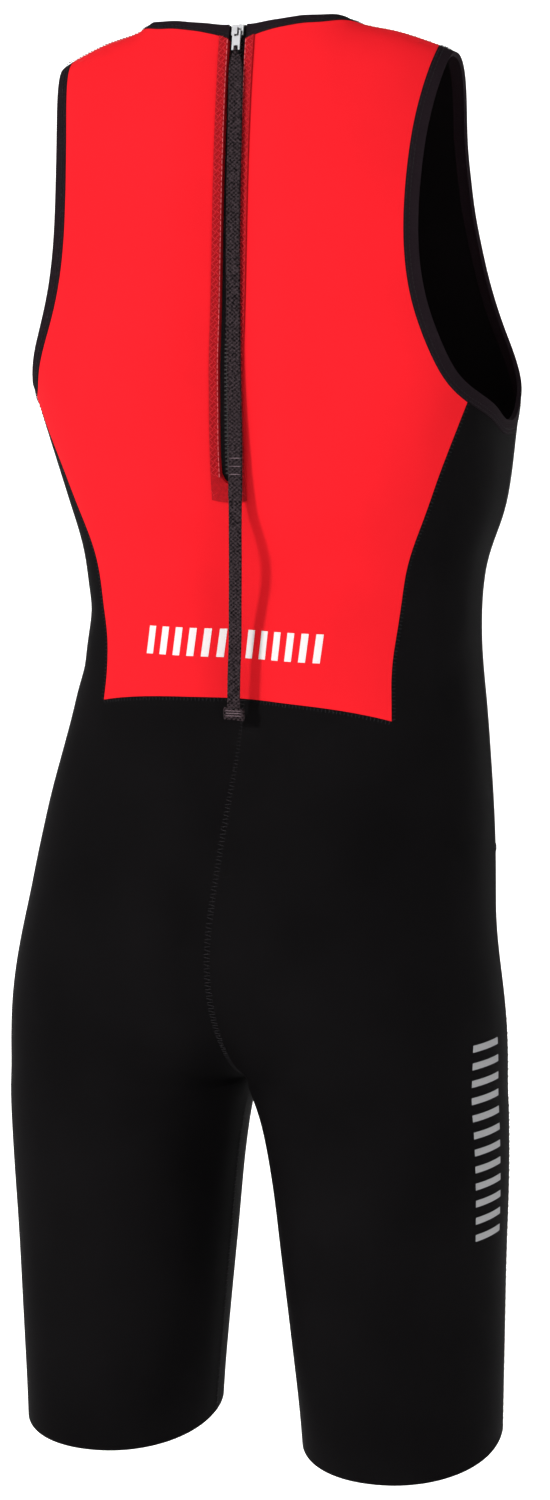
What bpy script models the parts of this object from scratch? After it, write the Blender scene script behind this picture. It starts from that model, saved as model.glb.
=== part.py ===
"""Shorty wetsuit, worn shape with nobody in it: smooth neoprene, back zip with a long leash."""
import math
from collections import namedtuple

import bmesh
import bpy
import numpy as np
from mathutils import Matrix, Vector

# Driving sizes, in millimetres and degrees; the build turns them into metres.
# X is to the wearer's left, Y to the back, Z up, and the shoulder point is at height 0.
MM = 0.001
WALL = 3.0
SEAM_GAP = 0.3
BIND_WIDTH = 9.0
NECK_BIND = 5.4
NECK_FLARE = 4.0
NECK_FLARE_REACH = 12.0
BIND_WALL = 3.2
CHEST_HEIGHT = -200.0
PELVIS_HEIGHT = -560.0
CROTCH_HEIGHT = -680.0
HEM_HEIGHT = -917.0
HEM_SLOPE = 0.17
FURROW_WIDTH = 24.0
SHOULDER_TAPER = 0.86
SHOULDER_LEAN = 0.008
CROTCH_BULGE = 0.07
MIDDLE_SHIFT = 8.6
SHIFT_HEIGHT = -310.0
SHIFT_REACH = 80.0
SLIT_HALF = 5.6
SLIT_FOOT = -288.0
SLIT_END = 4.0
STRIP_FOOT = 12.0
STRIP_WIDTH = 6.2
STRIP_WALL = 0.9
TAPE_WALL = 0.8
CHAIN_HALF = 2.7
CHAIN_WALL = 1.7

# The slider and its tab, in a frame at the slider: across, up along the zip, and out of the cloth.
# The tab turns about the line TAB_AXIS out from the cloth, under the slider's bridge.
SLIDER_LEVEL = 145.0
TAB_AXIS = 1.9
SLIDER_ACROSS = (-3.85, -2.9, -0.9, 0.9, 2.9, 3.85)
SLIDER_ALONG = (-4.4, -2.3, -1.3, 1.3, 2.3, 4.4)
SLIDER_OUT = (-1.0, 0.9, 2.9, 3.7)
TAB_ACROSS = (-2.65, -1.4, 1.4, 2.65)
TAB_ALONG = (-12.0, -10.9, -9.2, -3.4, -0.5, 0.5)
TAB_OUT = (-0.55, 0.55)

# The leash: its middle line as it hangs, with its width and thickness at each point.
Strap = namedtuple("Strap", "x y z width thick")
LEASH = (
    Strap(-0.2, 41.9, -20.5, 4.4, 1.2), Strap(-0.6, 42.9, -24, 6.6, 1.8),
    Strap(-1.2, 44.5, -28.5, 8.6, 2.2), Strap(-1.8, 46.0, -36, 9.2, 2.2),
    Strap(-2.6, 49.5, -62, 9.2, 2.2), Strap(-3.0, 52.2, -86, 9.2, 2.2),
    Strap(-3.2, 54.1, -111, 9.2, 2.2), Strap(-3.5, 55.7, -139, 9.2, 2.2),
    Strap(-3.9, 56.6, -172, 9.2, 2.2), Strap(-4.3, 57.0, -204, 9.2, 2.2),
    Strap(-4.9, 57.2, -236, 9.2, 2.2), Strap(-5.4, 57.2, -266, 9.2, 2.2),
    Strap(-5.2, 57.0, -293, 9.2, 2.2), Strap(-5.1, 56.8, -298, 8.8, 1.3),
    Strap(-4.9, 56.4, -318, 8.6, 1.2), Strap(-4.8, 56.0, -338, 8.6, 1.2),
    Strap(-4.6, 55.8, -362, 8.6, 1.2), Strap(-4.4, 55.6, -386, 8.6, 1.2),
    Strap(-3.6, 55.4, -406, 8.6, 1.2), Strap(-3.2, 55.2, -428.3, 8.6, 1.2),
)
LEASH_END = (Strap(-3.3, 55.2, -428.7, 14, 2.6), Strap(-3.6, 55.1, -436.2, 14, 2.6))

# The torso's level sections. middle is the y of the widest line; back and front are measured
# from it; sway moves a section to the wearer's left and tilt lifts its left side.
Section = namedtuple("Section", "height half_width middle back front back_full front_full"
                     " furrow sway tilt")
TORSO = (
    Section(-200, 161.0, -38, 101, 112, 3.6, 2.4, 11.0, 0.0, 0.00),
    Section(-250, 153.0, -38, 98.5, 111, 3.2, 2.4, 10.0, -2.7, 0.01),
    Section(-300, 143.0, -38, 91.5, 107, 2.9, 2.4, 9.0, -6.0, 0.02),
    Section(-340, 132.3, -36, 77, 101, 2.8, 2.3, 8.5, -5.0, 0.02),
    Section(-385, 128.8, -34, 83, 96, 2.8, 2.3, 9.5, -6.6, 0.02),
    Section(-440, 137.6, -30, 82.5, 95, 2.7, 2.3, 10.0, -4.4, 0.035),
    Section(-510, 149.8, -24, 95.5, 97, 2.5, 2.3, 7.5, 1.0, 0.03),
    Section(-590, 159.0, -20, 106, 97, 2.4, 2.3, 6.0, 7.0, 0.02),
    Section(-680, 168.0, -20, 104, 92, 2.4, 2.3, 6.0, 8.0, 0.01),
    Section(-790, 168.0, -20, 100, 90, 2.4, 2.3, 6.0, 7.0, 0.00),
    Section(-980, 168.0, -20, 100, 90, 2.4, 2.3, 6.0, 5.5, 0.00),
)

# The thigh's level sections, with the x of its inner and outer lines.
Thigh = namedtuple("Thigh", "height inner outer middle back front full")
THIGH = (
    Thigh(-680, 0.0, 168.5, -18, 88, 84, 2.15),
    Thigh(-697, 7.5, 169.5, -18, 86, 82, 2.15),
    Thigh(-740, 15.0, 169.5, -19, 82, 80, 2.1),
    Thigh(-795, 21.0, 167.5, -20, 78, 76, 2.1),
    Thigh(-850, 27.0, 166.3, -21, 74, 72, 2.1),
    Thigh(-904, 32.5, 165.0, -22, 71, 70, 2.1),
    Thigh(-980, 37.0, 164.0, -22, 68, 67, 2.1),
)

# The line along the top of the shoulder: over it the back rises to rear_top, the front to fore_top.
Ridge = namedtuple("Ridge", "x y rear_top fore_top")
RIDGE = (
    Ridge(0, 6, 62, -22),
    Ridge(35, 14, 30, -14),
    Ridge(67, 20, 0, 0),
    Ridge(100, 13, -9.5, -9.5),
    Ridge(131, 5, -21.5, -21.5),
    Ridge(175, -10, -46, -46),
)

# Free edges on the unposed form: x across and height, on the back (1) or the front (-1).
Point = namedtuple("Point", "face x height")
NECK_BACK = (
    Point(1, SLIT_HALF, -2.4), Point(1, 20, -1.0), Point(1, 40, 1.3), Point(1, 56, 1.8),
)
NECK_FRONT = (
    Point(-1, 62, -16), Point(-1, 48, -38), Point(-1, 26, -54), Point(-1, 0, -60),
)
NECK_SIDE_X = 67.0
SHOULDER_TIP_X = 131.0
ARMHOLE = (
    Point(1, 126.5, -50), Point(1, 122, -95), Point(1, 122.5, -145), Point(1, 131, -185),
    Point(1, 143.5, -218), Point(1, 154.5, -237),
    Point(-1, 152, -232), Point(-1, 139, -205), Point(-1, 124, -175), Point(-1, 114, -140),
    Point(-1, 110, -100), Point(-1, 116, -55),
)
ARMHOLE_FOOT = (92.0, -247.0)

# Seams. The red back narrows to the waist; hip_line is where the thigh fronts begin.
RED_TIP_HEIGHT = -234.0
SideEdge = namedtuple("SideEdge", "height x")
RED_SIDE = (SideEdge(-270, 131.5), SideEdge(-297, 121), SideEdge(-334, 107),
            SideEdge(-370, 100.5), SideEdge(-403, 96.5), SideEdge(-432, 98))
RED_FOOT_MIDDLE = -424.0
BACK_BEND = 1.7
SIDE_SEAM_ANGLE = 97.0
FRONT_TURN_ANGLE = 122.0
HIP_LINE_SIDE = -520.0
HIP_LINE_MIDDLE = -560.0

# Cell counts of the panels' grid.
NECK_CELLS = 6
FRONT_NECK_CELLS = 7
SHOULDER_CELLS = 4
UPPER_ROWS = 12
LOWER_ROWS = 9
SLIT_ROWS = 3
SEAT_ROWS = 11
THIGH_ROWS = 8
REAR_CELLS = 4
TURN_CELLS = 4

SHOULDER_RUN = -CHEST_HEIGHT * math.pi / 2
CROTCH_LEVEL = SHOULDER_RUN + CHEST_HEIGHT - CROTCH_HEIGHT
PELVIS_LEVEL = SHOULDER_RUN + CHEST_HEIGHT - PELVIS_HEIGHT
HEM_LEVEL = SHOULDER_RUN + CHEST_HEIGHT - HEM_HEIGHT


def smooth_row(table, height):
    """A table's values at a height, by a smooth curve through its rows."""
    keys = [row.height for row in table]
    values = np.array(table, dtype=float)
    height = min(max(height, keys[-1]), keys[0])
    j = next(k for k in range(len(keys) - 1) if height >= keys[k + 1])
    span = keys[j + 1] - keys[j]
    t = (height - keys[j]) / span

    def slope(k):
        if k == 0:
            return np.zeros(values.shape[1])
        if k == len(keys) - 1:
            return (values[k] - values[k - 1]) / (keys[k] - keys[k - 1])
        return (values[k + 1] - values[k - 1]) / (keys[k + 1] - keys[k - 1])

    a, b = values[j], values[j + 1]
    da, db = slope(j) * span, slope(j + 1) * span
    row = ((2 * t ** 3 - 3 * t ** 2 + 1) * a + (t ** 3 - 2 * t ** 2 + t) * da
           + (3 * t ** 2 - 2 * t ** 3) * b + (t ** 3 - t ** 2) * db)
    return type(table[0])(*row)


def ridge_at(x):
    """The shoulder line's y and its two tops at a distance from the middle."""
    xs = [r.x for r in RIDGE]
    j = next((k for k in range(len(xs) - 1) if x <= xs[k + 1]), len(xs) - 2)
    t = min((x - xs[j]) / (xs[j + 1] - xs[j]), 1.0)
    values = np.array(RIDGE, dtype=float)

    def slope(k):
        lo, hi = max(k - 1, 0), min(k + 1, len(xs) - 1)
        return (values[hi] - values[lo]) / (xs[hi] - xs[lo])

    span = xs[j + 1] - xs[j]
    row = ((2 * t ** 3 - 3 * t ** 2 + 1) * values[j] + (t ** 3 - 2 * t ** 2 + t) * slope(j) * span
           + (3 * t ** 2 - 2 * t ** 3) * values[j + 1] + (t ** 3 - t ** 2) * slope(j + 1) * span)
    ridge = Ridge(*row)
    return ridge if x < NECK_SIDE_X else ridge._replace(fore_top=ridge.rear_top)


def power(value, exponent):
    return math.copysign(abs(value) ** exponent, value)


def torso_ring(angle, height):
    """A torso section's point: 0 is the middle of the back, 90 the side, 180 the middle front."""
    row = smooth_row(TORSO, height)
    s, c = math.sin(math.radians(angle)), math.cos(math.radians(angle))
    full = row.back_full if c > 0 else row.front_full
    depth = row.back if c > 0 else row.front
    x = row.half_width * power(s, 2 / full)
    y = row.middle + depth * power(c, 2 / full)
    if c > 0:
        y -= row.furrow * math.exp(-(x / FURROW_WIDTH) ** 2)
    return x, y


def thigh_ring(angle, height):
    """A thigh section's point for the same angle, counted twice as fast from the inner line."""
    row = smooth_row(THIGH, height)
    turn = math.radians(2 * angle)
    half = (row.outer - row.inner) / 2
    depth = row.back if math.sin(turn) > 0 else row.front
    x = row.inner + half - half * power(math.cos(turn), 2 / row.full)
    y = row.middle + depth * power(math.sin(turn), 2 / row.full)
    return x, y


def form(angle, level):
    """The left half of the form, before sway and tilt. level runs down from the shoulder line."""
    if level < SHOULDER_RUN:
        lift = math.pi / 2 * (1 - level / SHOULDER_RUN)
        x0, y0 = torso_ring(angle, CHEST_HEIGHT)
        ridge = ridge_at(x0 * SHOULDER_TAPER)
        top = ridge.rear_top if angle < 90 else ridge.fore_top
        x = x0 + (ridge.x - x0) * (1 - math.cos(lift))
        y = ridge.y + (y0 - ridge.y) * math.cos(lift)
        return x, y, CHEST_HEIGHT + (top - CHEST_HEIGHT) * math.sin(lift)
    height = CHEST_HEIGHT - (level - SHOULDER_RUN)
    if level <= PELVIS_LEVEL:
        return (*torso_ring(angle, height), height)
    if level <= CROTCH_LEVEL:
        t = (level - PELVIS_LEVEL) / (CROTCH_LEVEL - PELVIS_LEVEL)
        near_middle = math.cos(math.radians(angle)) ** 4
        turn = 1 - math.cos(t * math.pi / 2)
        ease = t * t * (3 - 2 * t)
        blend = near_middle * turn + (1 - near_middle) * ease
        drop = near_middle * math.sin(t * math.pi / 2) + (1 - near_middle) * t
        height = PELVIS_HEIGHT + (CROTCH_HEIGHT - PELVIS_HEIGHT) * drop
        body, thigh = torso_ring(angle, height), thigh_ring(angle, CROTCH_HEIGHT)
        x, y = (b + (g - b) * blend for b, g in zip(body, thigh))
        middle = smooth_row(TORSO, height).middle
        bulge = 1 + CROTCH_BULGE * math.sin(math.pi * t) * abs(math.sin(math.radians(2 * angle)))
        return x, middle + (y - middle) * bulge, height
    x, y = thigh_ring(angle, height)
    reach = (level - CROTCH_LEVEL) / (HEM_LEVEL - CROTCH_LEVEL)
    middle = smooth_row(THIGH, height).middle
    return x, y, height - HEM_SLOPE * (y - middle) * reach ** 2


def skin(angle, level, side=1):
    """The outer face of the cloth as it stands, side 1 on the wearer's left and -1 on the right."""
    if angle < 0:
        return skin(-angle, level, -side)
    if angle > 180:
        return skin(360 - angle, level, -side)
    x, y, z = form(angle, level)
    x *= side
    row = smooth_row(TORSO, min(z, CHEST_HEIGHT))
    above = min(max(1 - z / CHEST_HEIGHT, 0.0), 1.0)
    sway, tilt = row.sway * (1 - above), row.tilt * (1 - above)
    facing = max(math.cos(math.radians(angle)), 0.0) ** 2
    sway += MIDDLE_SHIFT * facing * math.exp(-((z - SHIFT_HEIGHT) / SHIFT_REACH) ** 2)
    return np.array((x + sway, y, z + (tilt - SHOULDER_LEAN * above) * x)) * MM


def tangents(angle, level, side=1):
    da = (skin(angle + 0.4, level, side) - skin(angle - 0.4, level, side)) / 0.8
    low, high = max(level - 0.8, 0.0), level + 0.8
    dl = (skin(angle, high, side) - skin(angle, low, side)) / (high - low)
    return da, dl


def normal(angle, level, side=1):
    """The way out of the cloth; at the crotch, where four panels meet, it points down and in."""
    if angle in (0, 180) and abs(level - CROTCH_LEVEL) < 1.0:
        return np.array((-0.7 * side, 0.0, -0.714))
    if level < 1.0:
        along = skin(angle + 0.4, 0.0, side) - skin(angle - 0.4, 0.0, side)
        out = np.array((-along[2], 0.0, along[0]))
        return out / np.linalg.norm(out) * math.copysign(1.0, out[2])
    if angle in (0, 180) and level > CROTCH_LEVEL:
        return np.array((-1.0 * side, 0.0, 0.0))
    da, dl = tangents(angle, level, side)
    out = np.cross(da, dl) * side
    return out / np.linalg.norm(out)


def locate(point):
    """The angle and level of a point given by face, x and height on the unposed left half."""
    lo_a, hi_a = (0.0, 90.0) if point.face > 0 else (90.0, 180.0)
    angle, level = (lo_a + hi_a) / 2, 0.0
    for _ in range(40):
        lo, hi = 0.0, HEM_LEVEL
        for _ in range(40):
            level = (lo + hi) / 2
            if form(angle, level)[2] > point.height:
                lo = level
            else:
                hi = level
        outward = form(angle, level)[0] < point.x
        if outward == (point.face > 0):
            lo_a = angle
        else:
            hi_a = angle
        angle = (lo_a + hi_a) / 2
    return angle, level


def shoulder_angle(x, face):
    """The angle on the shoulder line at a distance from the middle."""
    lo, hi = 0.0, 90.0
    for _ in range(40):
        angle = (lo + hi) / 2
        if torso_ring(angle, CHEST_HEIGHT)[0] * SHOULDER_TAPER < x:
            lo = angle
        else:
            hi = angle
    if face > 0:
        return angle, 0.0
    lo, hi = 90.0, 180.0
    for _ in range(40):
        angle = (lo + hi) / 2
        if torso_ring(angle, CHEST_HEIGHT)[0] * SHOULDER_TAPER > x:
            lo = angle
        else:
            hi = angle
    return angle, 0.0


def curve_through(points, samples_per_span=10):
    """A dense smooth curve through angle and level points."""
    pts = [np.array(p, dtype=float) for p in points]
    pts = [2 * pts[0] - pts[1]] + pts + [2 * pts[-1] - pts[-2]]
    dense = []
    for k in range(1, len(pts) - 2):
        p0, p1, p2, p3 = pts[k - 1:k + 3]
        for s in range(samples_per_span):
            t = s / samples_per_span
            dense.append(0.5 * (2 * p1 + (p2 - p0) * t + (2 * p0 - 5 * p1 + 4 * p2 - p3) * t ** 2
                                + (3 * p1 - p0 - 3 * p2 + p3) * t ** 3))
    dense.append(pts[-2])
    return dense


def resample(curve, cells, start=0.0, end=1.0):
    """Points evenly spaced in true length along part of a dense curve."""
    spots = [skin(a, max(l, 0.0)) for a, l in curve]
    run = np.concatenate(([0], np.cumsum([np.linalg.norm(q - p)
                                          for p, q in zip(spots, spots[1:])])))
    want = np.linspace(start, end, cells + 1) * run[-1]
    arr = np.array(curve)
    return [np.array((np.interp(w, run, arr[:, 0]), np.interp(w, run, arr[:, 1]))) for w in want]


def slide(spot, direction, distance):
    """A spot moved over the cloth by a distance along a direction in space."""
    spot = np.array(spot, dtype=float)
    steps = 3
    for _ in range(steps):
        da, dl = tangents(spot[0], max(spot[1], 0.5))
        move = direction * distance * MM / steps
        gain = np.linalg.lstsq(np.stack((da, dl), axis=1), move, rcond=None)[0]
        spot = spot + gain
    return np.array((spot[0], max(spot[1], 0.0)))


def offset_curve(curve, distances, flip):
    """A curve beside another on the cloth, each point its own distance away."""
    spots = [skin(a, max(l, 0.0)) for a, l in curve]
    out = []
    for k, ((angle, level), distance) in enumerate(zip(curve, distances)):
        along = spots[min(k + 1, len(spots) - 1)] - spots[max(k - 1, 0)]
        across = np.cross(normal(angle, level), along)
        across *= flip / np.linalg.norm(across)
        out.append(slide((angle, level), across, distance))
    return out


def coons(top, bottom, left, right, fade=1.0):
    """A grid of angles and levels between four edges; fade keeps a side edge's bends near it."""
    rows, cols = len(left), len(top)
    reach_top, reach_bottom = top[-1][0] - top[0][0], bottom[-1][0] - bottom[0][0]
    grid = []
    for j in range(rows):
        t = j / (rows - 1)
        bend_left = left[j] - (1 - t) * top[0] - t * bottom[0]
        bend_right = right[j] - (1 - t) * top[-1] - t * bottom[-1]
        line = []
        for i in range(cols):
            s = ((1 - t) * (top[i][0] - top[0][0]) / reach_top
                 + t * (bottom[i][0] - bottom[0][0]) / reach_bottom)
            line.append((1 - t) * top[i] + t * bottom[i] + (1 - s) ** fade * bend_left
                        + s ** fade * bend_right)
        grid.append(line)
    return grid


def spread(top, bottom, left, right):
    """A grid between four edges on the back, spaced by distance from the middle, not by angle."""

    def unbend(spot):
        return np.array((math.sin(math.radians(max(spot[0], 0.0))) ** (1 / BACK_BEND), spot[1]))

    grid = coons(*([unbend(spot) for spot in edge] for edge in (top, bottom, left, right)))
    edges = {(0, i): spot for i, spot in enumerate(top)}
    edges.update({(len(left) - 1, i): spot for i, spot in enumerate(bottom)})
    edges.update({(j, 0): spot for j, spot in enumerate(left)})
    edges.update({(j, len(top) - 1): spot for j, spot in enumerate(right)})
    return [[edges.get((j, i), np.array((math.degrees(math.asin(spot[0] ** BACK_BEND)), spot[1])))
             for i, spot in enumerate(line)] for j, line in enumerate(grid)]


def straight(a, b, cells):
    return [np.array(a) + (np.array(b) - np.array(a)) * k / cells for k in range(cells + 1)]


def level_of(height):
    return SHOULDER_RUN + CHEST_HEIGHT - height


def slit_angle(level, half=SLIT_HALF):
    """The angle at which the back lies half the slit's width from the middle."""
    lo, hi = 0.0, 30.0
    for _ in range(40):
        angle = (lo + hi) / 2
        if form(angle, level)[0] < half:
            lo = angle
        else:
            hi = angle
    return angle


def side_edge_angle(edge):
    lo, hi = 0.0, 90.0
    for _ in range(40):
        angle = (lo + hi) / 2
        if torso_ring(angle, edge.height)[0] < edge.x:
            lo = angle
        else:
            hi = angle
    return np.array((angle, level_of(edge.height)))


def make_patches():
    """All panel grids of the left half, as rows of angle and level, plus the two edge bands."""
    tip_b, tip_f = shoulder_angle(SHOULDER_TIP_X, 1), shoulder_angle(SHOULDER_TIP_X, -1)
    hole = ([tip_b] + [locate(p) for p in ARMHOLE if p.face > 0]
            + [(ARMHOLE_FOOT[0], level_of(ARMHOLE_FOOT[1]))]
            + [locate(p) for p in ARMHOLE if p.face < 0] + [tip_f])
    hole = curve_through(hole)
    hole_seam = offset_curve(hole, [BIND_WIDTH] * len(hole), 1)
    hole_seam[0] = np.array(shoulder_angle(SHOULDER_TIP_X - BIND_WIDTH, 1))
    hole_seam[-1] = np.array(shoulder_angle(SHOULDER_TIP_X - BIND_WIDTH, -1))

    seam_b, seam_f = shoulder_angle(NECK_SIDE_X, 1), shoulder_angle(NECK_SIDE_X, -1)
    neck_b = curve_through([locate(p) for p in NECK_BACK] + [seam_b])
    neck_f = curve_through([seam_f] + [locate(p) for p in NECK_FRONT])
    from_slit = [(form(a, max(l, 0.0))[0] - SLIT_HALF) / NECK_FLARE_REACH for a, l in neck_b]
    neck_b_seam = offset_curve(neck_b, [NECK_BIND + NECK_FLARE * math.exp(-x * x)
                                        for x in from_slit], 1)
    neck_f_seam = offset_curve(neck_f, [NECK_BIND] * len(neck_f), 1)
    neck_b_seam[-1] = np.array(shoulder_angle(NECK_SIDE_X + NECK_BIND, 1))
    neck_f_seam[0] = np.array(shoulder_angle(NECK_SIDE_X + NECK_BIND, -1))
    neck_f_seam[-1] = np.array((180.0, neck_f_seam[-1][1]))
    neck_b_seam[0] = np.array((slit_angle(neck_b_seam[0][1]), neck_b_seam[0][1]))

    foot = min(range(len(hole_seam)), key=lambda k: abs(hole_seam[k][0] - SIDE_SEAM_ANGLE))
    turn = next(k for k in range(foot, len(hole_seam)) if hole_seam[k][0] >= FRONT_TURN_ANGLE)
    red_tip = next(k for k in range(len(hole_seam)) if hole_seam[k][1] > level_of(RED_TIP_HEIGHT)
                   or k == foot - 14)
    back_hole = resample(hole_seam[:red_tip + 1], UPPER_ROWS)
    rear_arc = resample(hole_seam[red_tip:foot + 1], REAR_CELLS)
    turn_arc = resample(hole_seam[foot:turn + 1], TURN_CELLS)
    front_hole = resample(hole_seam[turn:], UPPER_ROWS)[::-1]
    edge_back = resample(hole[:red_tip + 1], UPPER_ROWS)
    edge_rear = resample(hole[red_tip:foot + 1], REAR_CELLS)
    edge_turn = resample(hole[foot:turn + 1], TURN_CELLS)
    edge_front = resample(hole[turn:], UPPER_ROWS)

    strip_x = SLIT_HALF + STRIP_WIDTH
    beyond = [q for q in neck_b_seam if form(q[0], q[1])[0] > strip_x + 2]
    strip_spot = np.array((slit_angle(beyond[0][1] + 1, strip_x), beyond[0][1] + 1))
    neck_back = [neck_b_seam[0], strip_spot] + resample(beyond, NECK_CELLS - 1)[1:]
    neck_front = resample(neck_f_seam, FRONT_NECK_CELLS)
    shoulder_xs = np.linspace(NECK_SIDE_X + NECK_BIND, SHOULDER_TIP_X - BIND_WIDTH,
                              SHOULDER_CELLS + 1)
    top_back = neck_back + [np.array(shoulder_angle(x, 1)) for x in shoulder_xs[1:]]
    top_front = ([np.array(shoulder_angle(x, -1)) for x in shoulder_xs[::-1]]
                 + neck_front[1:])
    return locals()


def build_grids():
    """Named grids of the left half, each a list of rows of angle and level."""
    p = make_patches()
    back_cells = NECK_CELLS + SHOULDER_CELLS
    front_cells = FRONT_NECK_CELLS + SHOULDER_CELLS
    strip_x = SLIT_HALF + STRIP_WIDTH
    grids = {}

    def with_strip(angle_of_first, end, cells):
        first, last = angle_of_first
        return [first, last] + straight(last, end, cells - 1)[1:]

    top_level = p["top_back"][0][1]
    tip_level = p["back_hole"][-1][1]
    left = [np.array((slit_angle(l), l)) for l in np.linspace(top_level, tip_level,
                                                             UPPER_ROWS + 1)]
    tip_line = with_strip((left[-1], np.array((slit_angle(tip_level, strip_x), tip_level))),
                          p["back_hole"][-1], back_cells)
    grids["back_upper"] = spread(p["top_back"], tip_line, left, p["back_hole"])
    for row in grids["back_upper"][1:]:
        row[1] = np.array((slit_angle(row[1][1], strip_x), row[1][1]))

    red_side = curve_through([p["back_hole"][-1]] + [side_edge_angle(e) for e in RED_SIDE])
    side_line = resample(red_side, LOWER_ROWS)
    foot_level = level_of(RED_FOOT_MIDDLE)
    slit_level = level_of(SLIT_FOOT)
    blunt = slit_level - SLIT_END
    strip_end = slit_level + STRIP_FOOT
    levels = ([tip_level, (tip_level + blunt) / 2, blunt, slit_level]
              + list(np.linspace(strip_end, foot_level, LOWER_ROWS - SLIT_ROWS)))
    middle = [np.array((slit_angle(l) if k < SLIT_ROWS else 0.0, l))
              for k, l in enumerate(levels)]
    foot_line = []
    foot_strip = np.array((slit_angle(foot_level, strip_x), foot_level))
    for k, spot in enumerate(with_strip((middle[-1], foot_strip), side_line[-1], back_cells)):
        share = spot[0] / side_line[-1][0]
        foot_line.append(np.array((spot[0], foot_level + (side_line[-1][1] - foot_level)
                                   * share ** 2)))
    grids["back_lower"] = spread(tip_line, foot_line, middle, side_line)
    for row in grids["back_lower"][:-1]:
        row[1] = np.array((slit_angle(row[1][1], strip_x), row[1][1]))

    seam_levels = np.linspace(p["rear_arc"][-1][1], side_line[-1][1], LOWER_ROWS + 1)
    side_seam = [np.array((SIDE_SEAM_ANGLE, l)) for l in seam_levels]
    side_seam[0] = p["rear_arc"][-1]
    rear_foot = straight(side_line[-1], side_seam[-1], REAR_CELLS)
    grids["side_back"] = coons(p["rear_arc"], rear_foot, side_line, side_seam)

    waist = foot_line + rear_foot[1:]
    rows = SEAT_ROWS
    crotch_line = [np.array((SIDE_SEAM_ANGLE * k / (len(waist) - 1), CROTCH_LEVEL))
                   for k in range(len(waist))]
    seat_mid = straight(waist[0], crotch_line[0], rows)
    seat_side = straight(waist[-1], crotch_line[-1], rows)
    grids["seat"] = coons(waist, crotch_line, seat_mid, seat_side)
    hem = [np.array((c[0], HEM_LEVEL)) for c in crotch_line]
    grids["thigh_back"] = coons(crotch_line, hem, straight(crotch_line[0], hem[0], THIGH_ROWS),
                                straight(crotch_line[-1], hem[-1], THIGH_ROWS))

    turn_levels = np.linspace(p["turn_arc"][-1][1], side_line[-1][1], LOWER_ROWS + 1)
    turn_line = [np.array((FRONT_TURN_ANGLE, l)) for l in turn_levels]
    turn_line[0] = p["turn_arc"][-1]
    turn_foot = straight(side_seam[-1], turn_line[-1], TURN_CELLS)
    grids["side_front"] = coons(p["turn_arc"], turn_foot, side_seam, turn_line)

    chest_line = straight(p["turn_arc"][-1], (180.0, tip_level), front_cells)
    front_mid = straight(p["top_front"][-1], (180.0, tip_level), UPPER_ROWS)
    grids["front_upper"] = coons(p["top_front"], chest_line, p["front_hole"], front_mid,
                                 fade=2.5)
    belly_line = straight(turn_line[-1], (180.0, side_line[-1][1]), front_cells)
    belly_mid = straight(chest_line[-1], belly_line[-1], LOWER_ROWS)
    grids["front_lower"] = coons(chest_line, belly_line, turn_line, belly_mid)

    waist_front = turn_foot + belly_line[1:]
    count = len(waist_front)
    hip_line = []
    for k in range(count):
        angle = SIDE_SEAM_ANGLE + (180 - SIDE_SEAM_ANGLE) * k / (count - 1)
        share = (k / (count - 1)) ** 1.5
        hip_line.append(np.array((angle, level_of(HIP_LINE_SIDE + share
                                                  * (HIP_LINE_MIDDLE - HIP_LINE_SIDE)))))
    seat_levels = [row[-1] for row in grids["seat"]]
    hip_rows = min(range(len(seat_levels)),
                   key=lambda k: abs(seat_levels[k][1] - level_of(HIP_LINE_SIDE)))
    hip_line[0] = seat_levels[hip_rows]
    grids["hip_front"] = coons(waist_front, hip_line, seat_levels[:hip_rows + 1],
                               straight(waist_front[-1], hip_line[-1], hip_rows))
    front_crotch = [np.array((SIDE_SEAM_ANGLE + (180 - SIDE_SEAM_ANGLE) * k / (count - 1),
                              CROTCH_LEVEL)) for k in range(count)]
    left_rows = rows - hip_rows
    grids["groin"] = coons(hip_line, front_crotch, seat_levels[hip_rows:],
                           straight(hip_line[-1], front_crotch[-1], left_rows))
    front_hem = [np.array((c[0], HEM_LEVEL)) for c in front_crotch]
    grids["thigh_front"] = coons(front_crotch, front_hem,
                                 straight(front_crotch[0], front_hem[0], THIGH_ROWS),
                                 straight(front_crotch[-1], front_hem[-1], THIGH_ROWS))
    seam_b = p["top_back"][:NECK_CELLS + 1]
    neck_edge_b = [np.array(slide_to_edge(s, p["neck_b"])) for s in seam_b]
    neck_edge_b[0] = p["neck_b"][0]
    neck_edge_b[-1] = np.array(shoulder_angle(NECK_SIDE_X, 1))
    neck_edge_f = resample(p["neck_f"], FRONT_NECK_CELLS)
    seam_f = p["top_front"][SHOULDER_CELLS:]
    grids["neck_band_back"] = [neck_edge_b, seam_b]
    grids["neck_band_front"] = [neck_edge_f, seam_f]
    grids["hole_band"] = [p["edge_back"] + p["edge_rear"][1:] + p["edge_turn"][1:]
                          + p["edge_front"][1:],
                          p["back_hole"] + p["rear_arc"][1:] + p["turn_arc"][1:]
                          + p["front_hole"][::-1][1:]]
    return grids


def slide_to_edge(spot, curve):
    """The place on a dense curve that lies nearest to a spot."""
    here = skin(spot[0], max(spot[1], 0.0))
    return min(curve, key=lambda c: np.linalg.norm(skin(c[0], max(c[1], 0.0)) - here))


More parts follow.
